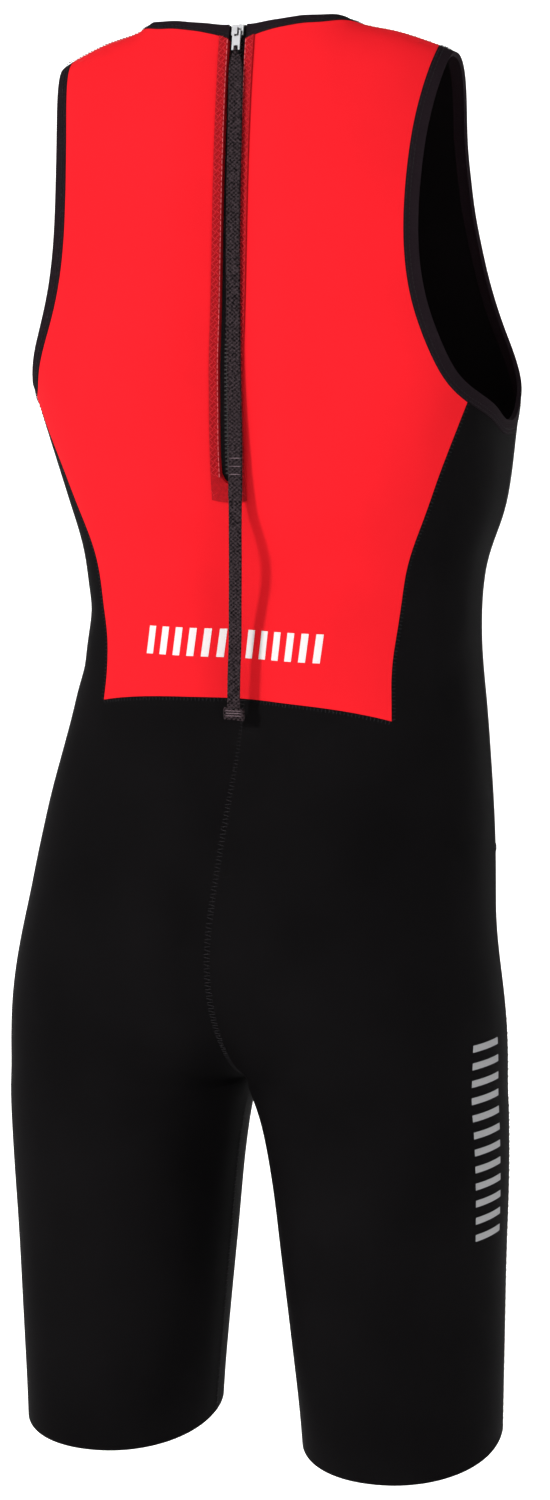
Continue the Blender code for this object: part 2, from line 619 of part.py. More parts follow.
class Shell:
    """A closed wall built from grids on the cloth: outer points, and inner points under them."""

    def __init__(self, wall, lift=0.0, gap=SEAM_GAP / 2):
        self.wall, self.lift, self.gap = wall * MM, lift * MM, gap * MM
        self.points, self.normals, self.keys, self.faces = [], [], {}, []

    def vertex(self, spot, side):
        angle, level = spot[0], max(spot[1], 0.0)
        place = skin(angle, level, side)
        key = tuple(np.round(place, 6) + 0.0)
        if key not in self.keys:
            self.keys[key] = len(self.points)
            self.points.append(place)
            self.normals.append(normal(angle, level, side))
        return self.keys[key]

    def add(self, grid, side, rows=None, cols=None):
        rows = rows or (0, len(grid) - 1)
        cols = cols or (0, len(grid[0]) - 1)
        for j in range(*rows):
            for i in range(*cols):
                quad = [self.vertex(grid[b][a], side)
                        for b, a in ((j, i), (j + 1, i), (j + 1, i + 1), (j, i + 1))]
                quad = [q for k, q in enumerate(quad) if q != quad[k - 1]]
                if side < 0:
                    quad.reverse()
                if len(quad) >= 3:
                    self.faces.append(quad)
        return self

    def object(self, name, material):
        border = {}
        for face in self.faces:
            for a, b in zip(face, face[1:] + face[:1]):
                if (b, a) in border:
                    del border[(b, a)]
                else:
                    border[(a, b)] = True
        pulls = {}
        for a, b in border:
            edge = self.points[b] - self.points[a]
            for v in (a, b):
                inward = np.cross(edge, self.normals[v])
                pulls.setdefault(v, []).append(inward / np.linalg.norm(inward))
        outer = [p.copy() for p in self.points]
        for v, ways in pulls.items():
            mid = ways[0] + ways[-1]
            outer[v] += mid / max(np.dot(mid, ways[0]), 0.35) * self.gap
        mesh = bmesh.new()
        top = [mesh.verts.new(p + n * self.lift) for p, n in zip(outer, self.normals)]
        low = [mesh.verts.new(p + n * (self.lift - self.wall))
               for p, n in zip(outer, self.normals)]
        for face in self.faces:
            mesh.faces.new([top[v] for v in face])
            mesh.faces.new([low[v] for v in reversed(face)])
        for a, b in border:
            mesh.faces.new((top[b], top[a], low[a], low[b]))
        return finish_mesh(mesh, name, material)


def finish_mesh(mesh, name, material):
    bmesh.ops.recalc_face_normals(mesh, faces=mesh.faces)
    bmesh.ops.triangulate(mesh, faces=mesh.faces)
    data = bpy.data.meshes.new(name)
    mesh.to_mesh(data)
    mesh.free()
    data.materials.append(material)
    data.shade_smooth()
    data.set_sharp_from_angle(angle=math.radians(35))
    obj = bpy.data.objects.new(name, data)
    bpy.context.collection.objects.link(obj)
    return obj


def make_material(name, colour, roughness, metallic=0.0):
    material = bpy.data.materials.new(name)
    material.use_nodes = True
    shader = material.node_tree.nodes["Principled BSDF"]
    shader.inputs["Base Color"].default_value = (*colour, 1.0)
    shader.inputs["Roughness"].default_value = roughness
    shader.inputs["Metallic"].default_value = metallic
    return material


def build_panels(grids):
    red = make_material("red_neoprene", (0.86, 0.02, 0.03), 0.55)
    black = make_material("black_neoprene", (0.012, 0.011, 0.012), 0.5)
    front = make_material("front_neoprene", (0.014, 0.013, 0.015), 0.5)
    band = make_material("binding", (0.02, 0.014, 0.017), 0.6)
    back = Shell(WALL)
    for side in (1, -1):
        back.add(grids["back_upper"], side).add(grids["back_lower"], side)
    back.object("back_panel", red)
    for side, word in ((1, "left"), (-1, "right")):
        rear = Shell(WALL).add(grids["side_back"], side).add(grids["seat"], side)
        rear.add(grids["thigh_back"], side).object("rear_" + word, black)
        leg = Shell(WALL).add(grids["groin"], side).add(grids["thigh_front"], side)
        leg.object("front_leg_" + word, front)
        Shell(BIND_WALL, 0.1).add(grids["hole_band"], side).object("armhole_binding_" + word, band)
    body = Shell(WALL)
    neck = Shell(BIND_WALL, 0.1)
    for side in (1, -1):
        for name in ("front_upper", "side_front", "front_lower", "hip_front"):
            body.add(grids[name], side)
        neck.add(grids["neck_band_back"], side).add(grids["neck_band_front"], side)
    body.object("front_panel", front)
    neck.object("neck_binding", band)


def build_zip(grids):
    """The stitched strip, the tape behind the slit and the closed chain on it."""
    trim = make_material("zip_strip", (0.47, 0.01, 0.012), 0.7)
    woven = make_material("zip_tape", (0.015, 0.013, 0.014), 0.8)
    teeth = make_material("zip_teeth", (0.02, 0.02, 0.022), 0.4)
    upper, lower = grids["back_upper"], grids["back_lower"][:SLIT_ROWS + 2]
    levels = [row[0][1] for row in upper] + [row[0][1] for row in lower[1:]]
    strip_x = SLIT_HALF + STRIP_WIDTH
    tape_levels = [grids["neck_band_back"][0][0][1]] + levels
    under = [[(0.0, l), (slit_angle(l), l), (slit_angle(l, strip_x), l)] for l in tape_levels]
    bead = [[(0.0, l), (slit_angle(l, CHAIN_HALF), l)] for l in [SLIDER_LEVEL] + levels[:-2]]
    strip = Shell(STRIP_WALL, SEAM_GAP + STRIP_WALL)
    tape = Shell(TAPE_WALL, -WALL - SEAM_GAP)
    chain = Shell(CHAIN_WALL, CHAIN_WALL - WALL)
    for side in (1, -1):
        strip.add(upper, side, cols=(0, 1)).add(lower, side, cols=(0, 1))
        tape.add(under, side)
        chain.add(bead, side)
    strip.object("zip_strip", trim)
    tape.object("zip_tape", woven)
    chain.object("zip_chain", teeth)


def lattice(across, along, out, is_filled):
    """A closed mesh of the filled cells of a box grid, given by the three rows of its planes."""
    mesh, corners = bmesh.new(), {}

    def corner(i, j, k):
        if (i, j, k) not in corners:
            corners[i, j, k] = mesh.verts.new((across[i] * MM, along[j] * MM, out[k] * MM))
        return corners[i, j, k]

    size = (len(across) - 1, len(along) - 1, len(out) - 1)

    def solid(cell):
        return all(0 <= c < n for c, n in zip(cell, size)) and is_filled(*cell)

    for cell in np.ndindex(*size):
        if not solid(cell):
            continue
        for axis in range(3):
            for step in (0, 1):
                beside = list(cell)
                beside[axis] += 2 * step - 1
                if solid(tuple(beside)):
                    continue
                b, c = (axis + 1) % 3, (axis + 2) % 3
                quad = []
                for db, dc in ((0, 0), (1, 0), (1, 1), (0, 1)):
                    spot = list(cell)
                    spot[axis] += step
                    spot[b] += db
                    spot[c] += dc
                    quad.append(corner(*spot))
                mesh.faces.new(quad if step else quad[::-1])
    return mesh


def slider_frame():
    """Where the slider sits: its place on the closed slit and its three directions."""
    angle = slit_angle(SLIDER_LEVEL)
    left, right = skin(angle, SLIDER_LEVEL, 1), skin(angle, SLIDER_LEVEL, -1)
    out = Vector(normal(angle, SLIDER_LEVEL, 1) + normal(angle, SLIDER_LEVEL, -1)).normalized()
    across = Vector(right - left).normalized()
    up = out.cross(across).normalized()
    frame = Matrix((across, up, out)).transposed().to_4x4()
    frame.translation = Vector((left + right) / 2)
    return frame


def build_slider():
    """The slider with its bridge, and the tab on its axis with an opening at each end."""
    metal = make_material("zip_metal", (0.62, 0.62, 0.64), 0.3, 1.0)
    frame = slider_frame()
    middle, first_leg, gap, last_leg = 2, 1, 2, 3

    def in_slider(i, j, k):
        is_tip = i in (0, len(SLIDER_ACROSS) - 2) and j == 0
        return (k == 0 and not is_tip) or (i == middle and j in (first_leg, last_leg)) or (
            i == middle and j == gap and k == 2)

    def in_tab(i, j, k):
        return i != 1 or j not in (1, 3)

    body = lattice(SLIDER_ACROSS, SLIDER_ALONG, SLIDER_OUT, in_slider)
    bmesh.ops.transform(body, matrix=frame, verts=body.verts)
    finish_mesh(body, "slider", metal)
    hinge = frame @ Matrix.Translation((0, 0, TAB_AXIS * MM))
    tab = lattice(TAB_ACROSS, TAB_ALONG, TAB_OUT, in_tab)
    bmesh.ops.transform(tab, matrix=Matrix.Translation(-hinge.translation) @ hinge, verts=tab.verts)
    tab = finish_mesh(tab, "pull_tab", metal)
    tab.location = hinge.translation
    return tab


def strap_solid(rows):
    """A closed flat strap along its middle line; its width lies across the wearer's back."""
    mesh, rings = bmesh.new(), []
    spots = [Vector((row.x, row.y, row.z)) * MM for row in rows]
    for k, row in enumerate(rows):
        along = (spots[min(k + 1, len(spots) - 1)] - spots[max(k - 1, 0)]).normalized()
        across = Vector((1, 0, 0))
        across = (across - along * along.dot(across)).normalized()
        out = along.cross(across)
        half, deep = row.width / 2 * MM, row.thick / 2 * MM
        rings.append([mesh.verts.new(spots[k] + across * u * half + out * w * deep)
                      for u, w in ((-1, -1), (1, -1), (1, 1), (-1, 1))])
    for a, b in zip(rings, rings[1:]):
        for k in range(4):
            mesh.faces.new((a[k], a[(k + 1) % 4], b[(k + 1) % 4], b[k]))
    mesh.faces.new(rings[0][::-1])
    mesh.faces.new(rings[-1])
    return mesh


def build_leash(tab):
    """The leash and its folded end, both carried by the tab."""
    webbing = make_material("webbing", (0.01, 0.01, 0.011), 0.85)
    for name, rows in (("leash", LEASH), ("leash_end", LEASH_END)):
        mesh = strap_solid(rows)
        bmesh.ops.translate(mesh, vec=-tab.location, verts=mesh.verts)
        strap = finish_mesh(mesh, name, webbing)
        strap.location = tab.location


def main():
    for obj in list(bpy.data.objects):
        bpy.data.objects.remove(obj, do_unlink=True)
    grids = build_grids()
    build_panels(grids)
    build_zip(grids)
    build_leash(build_slider())


main()
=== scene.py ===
"""Shorty wetsuit: cloth, bindings, zip, leash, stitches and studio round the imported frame."""
import math
from collections import namedtuple
from functools import lru_cache

import bmesh
import bpy
import numpy as np
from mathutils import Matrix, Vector
from mathutils.bvhtree import BVHTree


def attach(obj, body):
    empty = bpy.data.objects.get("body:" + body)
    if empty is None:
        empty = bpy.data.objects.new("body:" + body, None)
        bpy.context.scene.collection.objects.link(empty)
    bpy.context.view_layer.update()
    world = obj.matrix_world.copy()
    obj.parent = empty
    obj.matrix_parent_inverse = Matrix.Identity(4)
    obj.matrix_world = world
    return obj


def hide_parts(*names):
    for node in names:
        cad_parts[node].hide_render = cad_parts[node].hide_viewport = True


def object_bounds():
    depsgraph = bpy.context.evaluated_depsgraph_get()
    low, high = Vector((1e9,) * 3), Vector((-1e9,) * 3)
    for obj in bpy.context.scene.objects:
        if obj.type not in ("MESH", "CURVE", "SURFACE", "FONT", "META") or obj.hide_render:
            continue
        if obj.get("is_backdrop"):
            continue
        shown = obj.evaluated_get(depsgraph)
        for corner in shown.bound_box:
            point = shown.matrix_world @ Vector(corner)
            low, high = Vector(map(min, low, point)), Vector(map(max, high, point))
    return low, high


bl_info = {
    "name": "Shorty Wetsuit",
    "version": (1, 0, 0),
    "blender": (4, 5, 0),
    "location": "View3D > Sidebar > Wetsuit",
    "description": "Builds the cloth, zip, leash and studio of a shorty wetsuit",
    "category": "Object",
}

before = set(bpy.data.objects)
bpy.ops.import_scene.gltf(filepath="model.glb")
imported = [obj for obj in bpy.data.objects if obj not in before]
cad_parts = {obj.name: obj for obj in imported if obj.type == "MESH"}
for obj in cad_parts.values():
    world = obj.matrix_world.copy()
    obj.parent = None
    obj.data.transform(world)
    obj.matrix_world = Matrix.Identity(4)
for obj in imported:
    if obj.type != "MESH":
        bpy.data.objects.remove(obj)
CAD_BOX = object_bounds()
SUIT, PULL = "garment", "pull"

# The form's sizes, in millimetres and degrees, as the solids have them.
# X is to the wearer's left, Y to the back, Z up, and the shoulder point is at height 0.
MM = 0.001
WALL = 3.0
SEAM_GAP = 0.3
BIND_WIDTH = 9.0
NECK_BIND = 5.4
NECK_FLARE = 4.0
NECK_FLARE_REACH = 12.0
BIND_WALL = 3.2
CHEST_HEIGHT = -200.0
PELVIS_HEIGHT = -560.0
CROTCH_HEIGHT = -680.0
HEM_HEIGHT = -917.0
HEM_SLOPE = 0.17
FURROW_WIDTH = 24.0
SHOULDER_TAPER = 0.86
SHOULDER_LEAN = 0.008
CROTCH_BULGE = 0.07
MIDDLE_SHIFT = 8.6
SHIFT_HEIGHT = -310.0
SHIFT_REACH = 80.0
SLIT_HALF = 5.6
SLIT_FOOT = -288.0
SLIT_END = 4.0
STRIP_FOOT = 12.0
STRIP_WIDTH = 6.2
STRIP_WALL = 0.9
TAPE_WALL = 0.8
CHAIN_WALL = 1.7

SLIDER_LEVEL = 145.0
TAB_AXIS = 1.9

# The leash: its middle line as it hangs, with its width and thickness at each point.
Strap = namedtuple("Strap", "x y z width thick")
LEASH = (
    Strap(-0.2, 41.9, -20.5, 4.4, 1.2), Strap(-0.6, 42.9, -24, 6.6, 1.8),
    Strap(-1.2, 44.5, -28.5, 8.6, 2.2), Strap(-1.8, 46.0, -36, 9.2, 2.2),
    Strap(-2.6, 49.5, -62, 9.2, 2.2), Strap(-3.0, 52.2, -86, 9.2, 2.2),
    Strap(-3.2, 54.1, -111, 9.2, 2.2), Strap(-3.5, 55.7, -139, 9.2, 2.2),
    Strap(-3.9, 56.6, -172, 9.2, 2.2), Strap(-4.3, 57.0, -204, 9.2, 2.2),
    Strap(-4.9, 57.2, -236, 9.2, 2.2), Strap(-5.4, 57.2, -266, 9.2, 2.2),
    Strap(-5.2, 57.0, -293, 9.2, 2.2), Strap(-5.1, 56.8, -298, 8.8, 1.3),
    Strap(-4.9, 56.4, -318, 8.6, 1.2), Strap(-4.8, 56.0, -338, 8.6, 1.2),
    Strap(-4.6, 55.8, -362, 8.6, 1.2), Strap(-4.4, 55.6, -386, 8.6, 1.2),
    Strap(-3.6, 55.4, -406, 8.6, 1.2), Strap(-3.2, 55.2, -428.3, 8.6, 1.2),
)
LEASH_END = (Strap(-3.3, 55.2, -428.7, 14, 2.6), Strap(-3.6, 55.1, -436.2, 14, 2.6))

# The torso's level sections. middle is the y of the widest line; back and front are measured
# from it; sway moves a section to the wearer's left and tilt lifts its left side.
Section = namedtuple("Section", "height half_width middle back front back_full front_full"
                     " furrow sway tilt")
TORSO = (
    Section(-200, 161.0, -38, 101, 112, 3.6, 2.4, 11.0, 0.0, 0.00),
    Section(-250, 153.0, -38, 98.5, 111, 3.2, 2.4, 10.0, -2.7, 0.01),
    Section(-300, 143.0, -38, 91.5, 107, 2.9, 2.4, 9.0, -6.0, 0.02),
    Section(-340, 132.3, -36, 77, 101, 2.8, 2.3, 8.5, -5.0, 0.02),
    Section(-385, 128.8, -34, 83, 96, 2.8, 2.3, 9.5, -6.6, 0.02),
    Section(-440, 137.6, -30, 82.5, 95, 2.7, 2.3, 10.0, -4.4, 0.035),
    Section(-510, 149.8, -24, 95.5, 97, 2.5, 2.3, 7.5, 1.0, 0.03),
    Section(-590, 159.0, -20, 106, 97, 2.4, 2.3, 6.0, 7.0, 0.02),
    Section(-680, 168.0, -20, 104, 92, 2.4, 2.3, 6.0, 8.0, 0.01),
    Section(-790, 168.0, -20, 100, 90, 2.4, 2.3, 6.0, 7.0, 0.00),
    Section(-980, 168.0, -20, 100, 90, 2.4, 2.3, 6.0, 5.5, 0.00),
)

# The thigh's level sections, with the x of its inner and outer lines.
Thigh = namedtuple("Thigh", "height inner outer middle back front full")
THIGH = (
    Thigh(-680, 0.0, 168.5, -18, 88, 84, 2.15),
    Thigh(-697, 7.5, 169.5, -18, 86, 82, 2.15),
    Thigh(-740, 15.0, 169.5, -19, 82, 80, 2.1),
    Thigh(-795, 21.0, 167.5, -20, 78, 76, 2.1),
    Thigh(-850, 27.0, 166.3, -21, 74, 72, 2.1),
    Thigh(-904, 32.5, 165.0, -22, 71, 70, 2.1),
    Thigh(-980, 37.0, 164.0, -22, 68, 67, 2.1),
)

# The line along the top of the shoulder: over it the back rises to rear_top, the front to fore_top.
Ridge = namedtuple("Ridge", "x y rear_top fore_top")
RIDGE = (
    Ridge(0, 6, 62, -22),
    Ridge(35, 14, 30, -14),
    Ridge(67, 20, 0, 0),
    Ridge(100, 13, -9.5, -9.5),
    Ridge(131, 5, -21.5, -21.5),
    Ridge(175, -10, -46, -46),
)

# Free edges on the unposed form: x across and height, on the back (1) or the front (-1).
Point = namedtuple("Point", "face x height")
NECK_BACK = (
    Point(1, SLIT_HALF, -2.4), Point(1, 20, -1.0), Point(1, 40, 1.3), Point(1, 56, 1.8),
)
NECK_FRONT = (
    Point(-1, 62, -16), Point(-1, 48, -38), Point(-1, 26, -54), Point(-1, 0, -60),
)
NECK_SIDE_X = 67.0
SHOULDER_TIP_X = 131.0
ARMHOLE = (
    Point(1, 126.5, -50), Point(1, 122, -95), Point(1, 122.5, -145), Point(1, 131, -185),
    Point(1, 143.5, -218), Point(1, 154.5, -237),
    Point(-1, 152, -232), Point(-1, 139, -205), Point(-1, 124, -175), Point(-1, 114, -140),
    Point(-1, 110, -100), Point(-1, 116, -55),
)
ARMHOLE_FOOT = (92.0, -247.0)

# Seams. The red back narrows to the waist; hip_line is where the thigh fronts begin.
RED_TIP_HEIGHT = -234.0
SideEdge = namedtuple("SideEdge", "height x")
RED_SIDE = (SideEdge(-270, 131.5), SideEdge(-297, 121), SideEdge(-334, 107),
            SideEdge(-370, 100.5), SideEdge(-403, 96.5), SideEdge(-432, 98))
RED_FOOT_MIDDLE = -424.0
BACK_BEND = 1.7
SIDE_SEAM_ANGLE = 97.0
FRONT_TURN_ANGLE = 122.0
HIP_LINE_SIDE = -520.0
HIP_LINE_MIDDLE = -560.0

# Cell counts of the panels' grid.
NECK_CELLS = 12
FRONT_NECK_CELLS = 14
SHOULDER_CELLS = 8
UPPER_ROWS = 26
LOWER_ROWS = 20
SLIT_ROWS = 3
SEAT_ROWS = 22
THIGH_ROWS = 18
REAR_CELLS = 9
TURN_CELLS = 8

# How often a range is halved to find an angle or a level on the form.
HALVINGS = 40

SHOULDER_RUN = -CHEST_HEIGHT * math.pi / 2
CROTCH_LEVEL = SHOULDER_RUN + CHEST_HEIGHT - CROTCH_HEIGHT
PELVIS_LEVEL = SHOULDER_RUN + CHEST_HEIGHT - PELVIS_HEIGHT
HEM_LEVEL = SHOULDER_RUN + CHEST_HEIGHT - HEM_HEIGHT


@lru_cache(maxsize=None)
def smooth_row(table, height):
    """A table's values at a height, by a smooth curve through its rows."""
    keys = [row.height for row in table]
    values = np.array(table, dtype=float)
    height = min(max(height, keys[-1]), keys[0])
    j = next(k for k in range(len(keys) - 1) if height >= keys[k + 1])
    span = keys[j + 1] - keys[j]
    t = (height - keys[j]) / span

    def slope(k):
        if k == 0:
            return np.zeros(values.shape[1])
        if k == len(keys) - 1:
            return (values[k] - values[k - 1]) / (keys[k] - keys[k - 1])
        return (values[k + 1] - values[k - 1]) / (keys[k + 1] - keys[k - 1])

    a, b = values[j], values[j + 1]
    da, db = slope(j) * span, slope(j + 1) * span
    row = ((2 * t ** 3 - 3 * t ** 2 + 1) * a + (t ** 3 - 2 * t ** 2 + t) * da
           + (3 * t ** 2 - 2 * t ** 3) * b + (t ** 3 - t ** 2) * db)
    return type(table[0])(*row)


def ridge_at(x):
    """The shoulder line's y and its two tops at a distance from the middle."""
    xs = [r.x for r in RIDGE]
    j = next((k for k in range(len(xs) - 1) if x <= xs[k + 1]), len(xs) - 2)
    t = min((x - xs[j]) / (xs[j + 1] - xs[j]), 1.0)
    values = np.array(RIDGE, dtype=float)

    def slope(k):
        lo, hi = max(k - 1, 0), min(k + 1, len(xs) - 1)
        return (values[hi] - values[lo]) / (xs[hi] - xs[lo])

    span = xs[j + 1] - xs[j]
    row = ((2 * t ** 3 - 3 * t ** 2 + 1) * values[j] + (t ** 3 - 2 * t ** 2 + t) * slope(j) * span
           + (3 * t ** 2 - 2 * t ** 3) * values[j + 1] + (t ** 3 - t ** 2) * slope(j + 1) * span)
    ridge = Ridge(*row)
    return ridge if x < NECK_SIDE_X else ridge._replace(fore_top=ridge.rear_top)


def power(value, exponent):
    return math.copysign(abs(value) ** exponent, value)


def torso_ring(angle, height):
    """A torso section's point: 0 is the middle of the back, 90 the side, 180 the middle front."""
    row = smooth_row(TORSO, height)
    s, c = math.sin(math.radians(angle)), math.cos(math.radians(angle))
    full = row.back_full if c > 0 else row.front_full
    depth = row.back if c > 0 else row.front
    x = row.half_width * power(s, 2 / full)
    y = row.middle + depth * power(c, 2 / full)
    if c > 0:
        y -= row.furrow * math.exp(-(x / FURROW_WIDTH) ** 2)
    return x, y


def thigh_ring(angle, height):
    """A thigh section's point for the same angle, counted twice as fast from the inner line."""
    row = smooth_row(THIGH, height)
    turn = math.radians(2 * angle)
    half = (row.outer - row.inner) / 2
    depth = row.back if math.sin(turn) > 0 else row.front
    x = row.inner + half - half * power(math.cos(turn), 2 / row.full)
    y = row.middle + depth * power(math.sin(turn), 2 / row.full)
    return x, y


def form(angle, level):
    """The left half of the form, before sway and tilt. level runs down from the shoulder line."""
    if level < SHOULDER_RUN:
        lift = math.pi / 2 * (1 - level / SHOULDER_RUN)
        x0, y0 = torso_ring(angle, CHEST_HEIGHT)
        ridge = ridge_at(x0 * SHOULDER_TAPER)
        top = ridge.rear_top if angle < 90 else ridge.fore_top
        x = x0 + (ridge.x - x0) * (1 - math.cos(lift))
        y = ridge.y + (y0 - ridge.y) * math.cos(lift)
        return x, y, CHEST_HEIGHT + (top - CHEST_HEIGHT) * math.sin(lift)
    height = CHEST_HEIGHT - (level - SHOULDER_RUN)
    if level <= PELVIS_LEVEL:
        return (*torso_ring(angle, height), height)
    if level <= CROTCH_LEVEL:
        t = (level - PELVIS_LEVEL) / (CROTCH_LEVEL - PELVIS_LEVEL)
        near_middle = math.cos(math.radians(angle)) ** 4
        turn = 1 - math.cos(t * math.pi / 2)
        ease = t * t * (3 - 2 * t)
        blend = near_middle * turn + (1 - near_middle) * ease
        drop = near_middle * math.sin(t * math.pi / 2) + (1 - near_middle) * t
        height = PELVIS_HEIGHT + (CROTCH_HEIGHT - PELVIS_HEIGHT) * drop
        body, thigh = torso_ring(angle, height), thigh_ring(angle, CROTCH_HEIGHT)
        x, y = (b + (g - b) * blend for b, g in zip(body, thigh))
        middle = smooth_row(TORSO, height).middle
        bulge = 1 + CROTCH_BULGE * math.sin(math.pi * t) * abs(math.sin(math.radians(2 * angle)))
        return x, middle + (y - middle) * bulge, height
    x, y = thigh_ring(angle, height)
    reach = (level - CROTCH_LEVEL) / (HEM_LEVEL - CROTCH_LEVEL)
    middle = smooth_row(THIGH, height).middle
    return x, y, height - HEM_SLOPE * (y - middle) * reach ** 2


def skin(angle, level, side=1):
    """The outer face of the cloth as it stands, side 1 on the wearer's left and -1 on the right."""
    if angle < 0:
        return skin(-angle, level, -side)
    if angle > 180:
        return skin(360 - angle, level, -side)
    x, y, z = form(angle, level)
    x *= side
    row = smooth_row(TORSO, min(z, CHEST_HEIGHT))
    above = min(max(1 - z / CHEST_HEIGHT, 0.0), 1.0)
    sway, tilt = row.sway * (1 - above), row.tilt * (1 - above)
    facing = max(math.cos(math.radians(angle)), 0.0) ** 2
    sway += MIDDLE_SHIFT * facing * math.exp(-((z - SHIFT_HEIGHT) / SHIFT_REACH) ** 2)
    return np.array((x + sway, y, z + (tilt - SHOULDER_LEAN * above) * x)) * MM


def tangents(angle, level, side=1):
    da = (skin(angle + 0.4, level, side) - skin(angle - 0.4, level, side)) / 0.8
    low, high = max(level - 0.8, 0.0), level + 0.8
    dl = (skin(angle, high, side) - skin(angle, low, side)) / (high - low)
    return da, dl


def normal(angle, level, side=1):
    """The way out of the cloth; at the crotch, where four panels meet, it points down and in."""
    if angle in (0, 180) and abs(level - CROTCH_LEVEL) < 1.0:
        return np.array((-0.7 * side, 0.0, -0.714))
    if level < 1.0:
        along = skin(angle + 0.4, 0.0, side) - skin(angle - 0.4, 0.0, side)
        out = np.array((-along[2], 0.0, along[0]))
        return out / np.linalg.norm(out) * math.copysign(1.0, out[2])
    if angle in (0, 180) and level > CROTCH_LEVEL:
        return np.array((-1.0 * side, 0.0, 0.0))
    da, dl = tangents(angle, level, side)
    out = np.cross(da, dl) * side
    return out / np.linalg.norm(out)


def bisect(low, high, before):
    """The value between two at which before stops holding."""
    for _ in range(HALVINGS):
        middle = (low + high) / 2
        if before(middle):
            low = middle
        else:
            high = middle
    return middle


def locate(point):
    """The angle and level of a point given by face, x and height on the unposed left half."""
    lo_a, hi_a = (0.0, 90.0) if point.face > 0 else (90.0, 180.0)
    angle = (lo_a + hi_a) / 2
    for _ in range(HALVINGS):
        level = bisect(0.0, HEM_LEVEL, lambda l: form(angle, l)[2] > point.height)
        outward = form(angle, level)[0] < point.x
        if outward == (point.face > 0):
            lo_a = angle
        else:
            hi_a = angle
        angle = (lo_a + hi_a) / 2
    return angle, level


def shoulder_angle(x, face):
    """The angle on the shoulder line at a distance from the middle."""

    def reach(angle):
        return torso_ring(angle, CHEST_HEIGHT)[0] * SHOULDER_TAPER

    if face > 0:
        return bisect(0.0, 90.0, lambda angle: reach(angle) < x), 0.0
    return bisect(90.0, 180.0, lambda angle: reach(angle) > x), 0.0


def curve_step(p0, p1, p2, p3, t):
    """A smooth curve's point at a share t of the way from p1 to p2."""
    return 0.5 * (2 * p1 + (p2 - p0) * t + (2 * p0 - 5 * p1 + 4 * p2 - p3) * t ** 2
                  + (3 * p1 - p0 - 3 * p2 + p3) * t ** 3)


def curve_through(points, samples_per_span=10):
    """A dense smooth curve through angle and level points."""
    pts = [np.array(p, dtype=float) for p in points]
    pts = [2 * pts[0] - pts[1]] + pts + [2 * pts[-1] - pts[-2]]
    dense = []
    for k in range(1, len(pts) - 2):
        for s in range(samples_per_span):
            dense.append(curve_step(*pts[k - 1:k + 3], s / samples_per_span))
    dense.append(pts[-2])
    return dense


def resample(curve, cells, start=0.0, end=1.0):
    """Points evenly spaced in true length along part of a dense curve."""
    spots = [skin(a, max(l, 0.0)) for a, l in curve]
    run = np.concatenate(([0], np.cumsum([np.linalg.norm(q - p)
                                          for p, q in zip(spots, spots[1:])])))
    want = np.linspace(start, end, cells + 1) * run[-1]
    arr = np.array(curve)
    return [np.array((np.interp(w, run, arr[:, 0]), np.interp(w, run, arr[:, 1]))) for w in want]


def slide(spot, direction, distance):
    """A spot moved over the cloth by a distance along a direction in space."""
    spot = np.array(spot, dtype=float)
    steps = 3
    for _ in range(steps):
        da, dl = tangents(spot[0], max(spot[1], 0.5))
        move = direction * distance * MM / steps
        gain = np.linalg.lstsq(np.stack((da, dl), axis=1), move, rcond=None)[0]
        spot = spot + gain
    return np.array((spot[0], max(spot[1], 0.0)))


def offset_curve(curve, distances, flip):
    """A curve beside another on the cloth, each point its own distance away."""
    spots = [skin(a, max(l, 0.0)) for a, l in curve]
    out = []
    for k, ((angle, level), distance) in enumerate(zip(curve, distances)):
        along = spots[min(k + 1, len(spots) - 1)] - spots[max(k - 1, 0)]
        across = np.cross(normal(angle, level), along)
        across *= flip / np.linalg.norm(across)
        out.append(slide((angle, level), across, distance))
    return out


def coons(top, bottom, left, right, fade=1.0):
    """A grid of angles and levels between four edges; fade keeps a side edge's bends near it."""
    rows, cols = len(left), len(top)
    reach_top, reach_bottom = top[-1][0] - top[0][0], bottom[-1][0] - bottom[0][0]
    grid = []
    for j in range(rows):
        t = j / (rows - 1)
        bend_left = left[j] - (1 - t) * top[0] - t * bottom[0]
        bend_right = right[j] - (1 - t) * top[-1] - t * bottom[-1]
        line = []
        for i in range(cols):
            s = ((1 - t) * (top[i][0] - top[0][0]) / reach_top
                 + t * (bottom[i][0] - bottom[0][0]) / reach_bottom)
            line.append((1 - t) * top[i] + t * bottom[i] + (1 - s) ** fade * bend_left
                        + s ** fade * bend_right)
        grid.append(line)
    return grid


def spread(top, bottom, left, right):
    """A grid between four edges on the back, spaced by distance from the middle, not by angle."""

    def unbend(spot):
        return np.array((math.sin(math.radians(max(spot[0], 0.0))) ** (1 / BACK_BEND), spot[1]))

    grid = coons(*([unbend(spot) for spot in edge] for edge in (top, bottom, left, right)))
    edges = {(0, i): spot for i, spot in enumerate(top)}
    edges.update({(len(left) - 1, i): spot for i, spot in enumerate(bottom)})
    edges.update({(j, 0): spot for j, spot in enumerate(left)})
    edges.update({(j, len(top) - 1): spot for j, spot in enumerate(right)})
    return [[edges.get((j, i), np.array((math.degrees(math.asin(spot[0] ** BACK_BEND)), spot[1])))
             for i, spot in enumerate(line)] for j, line in enumerate(grid)]


def straight(a, b, cells):
    return [np.array(a) + (np.array(b) - np.array(a)) * k / cells for k in range(cells + 1)]


def level_of(height):
    return SHOULDER_RUN + CHEST_HEIGHT - height


def slit_angle(level, half=SLIT_HALF):
    """The angle at which the back lies a distance from the middle, half the slit if not given."""
    return bisect(0.0, 30.0, lambda angle: form(angle, level)[0] < half)


def side_edge_angle(edge):
    angle = bisect(0.0, 90.0, lambda angle: torso_ring(angle, edge.height)[0] < edge.x)
    return np.array((angle, level_of(edge.height)))


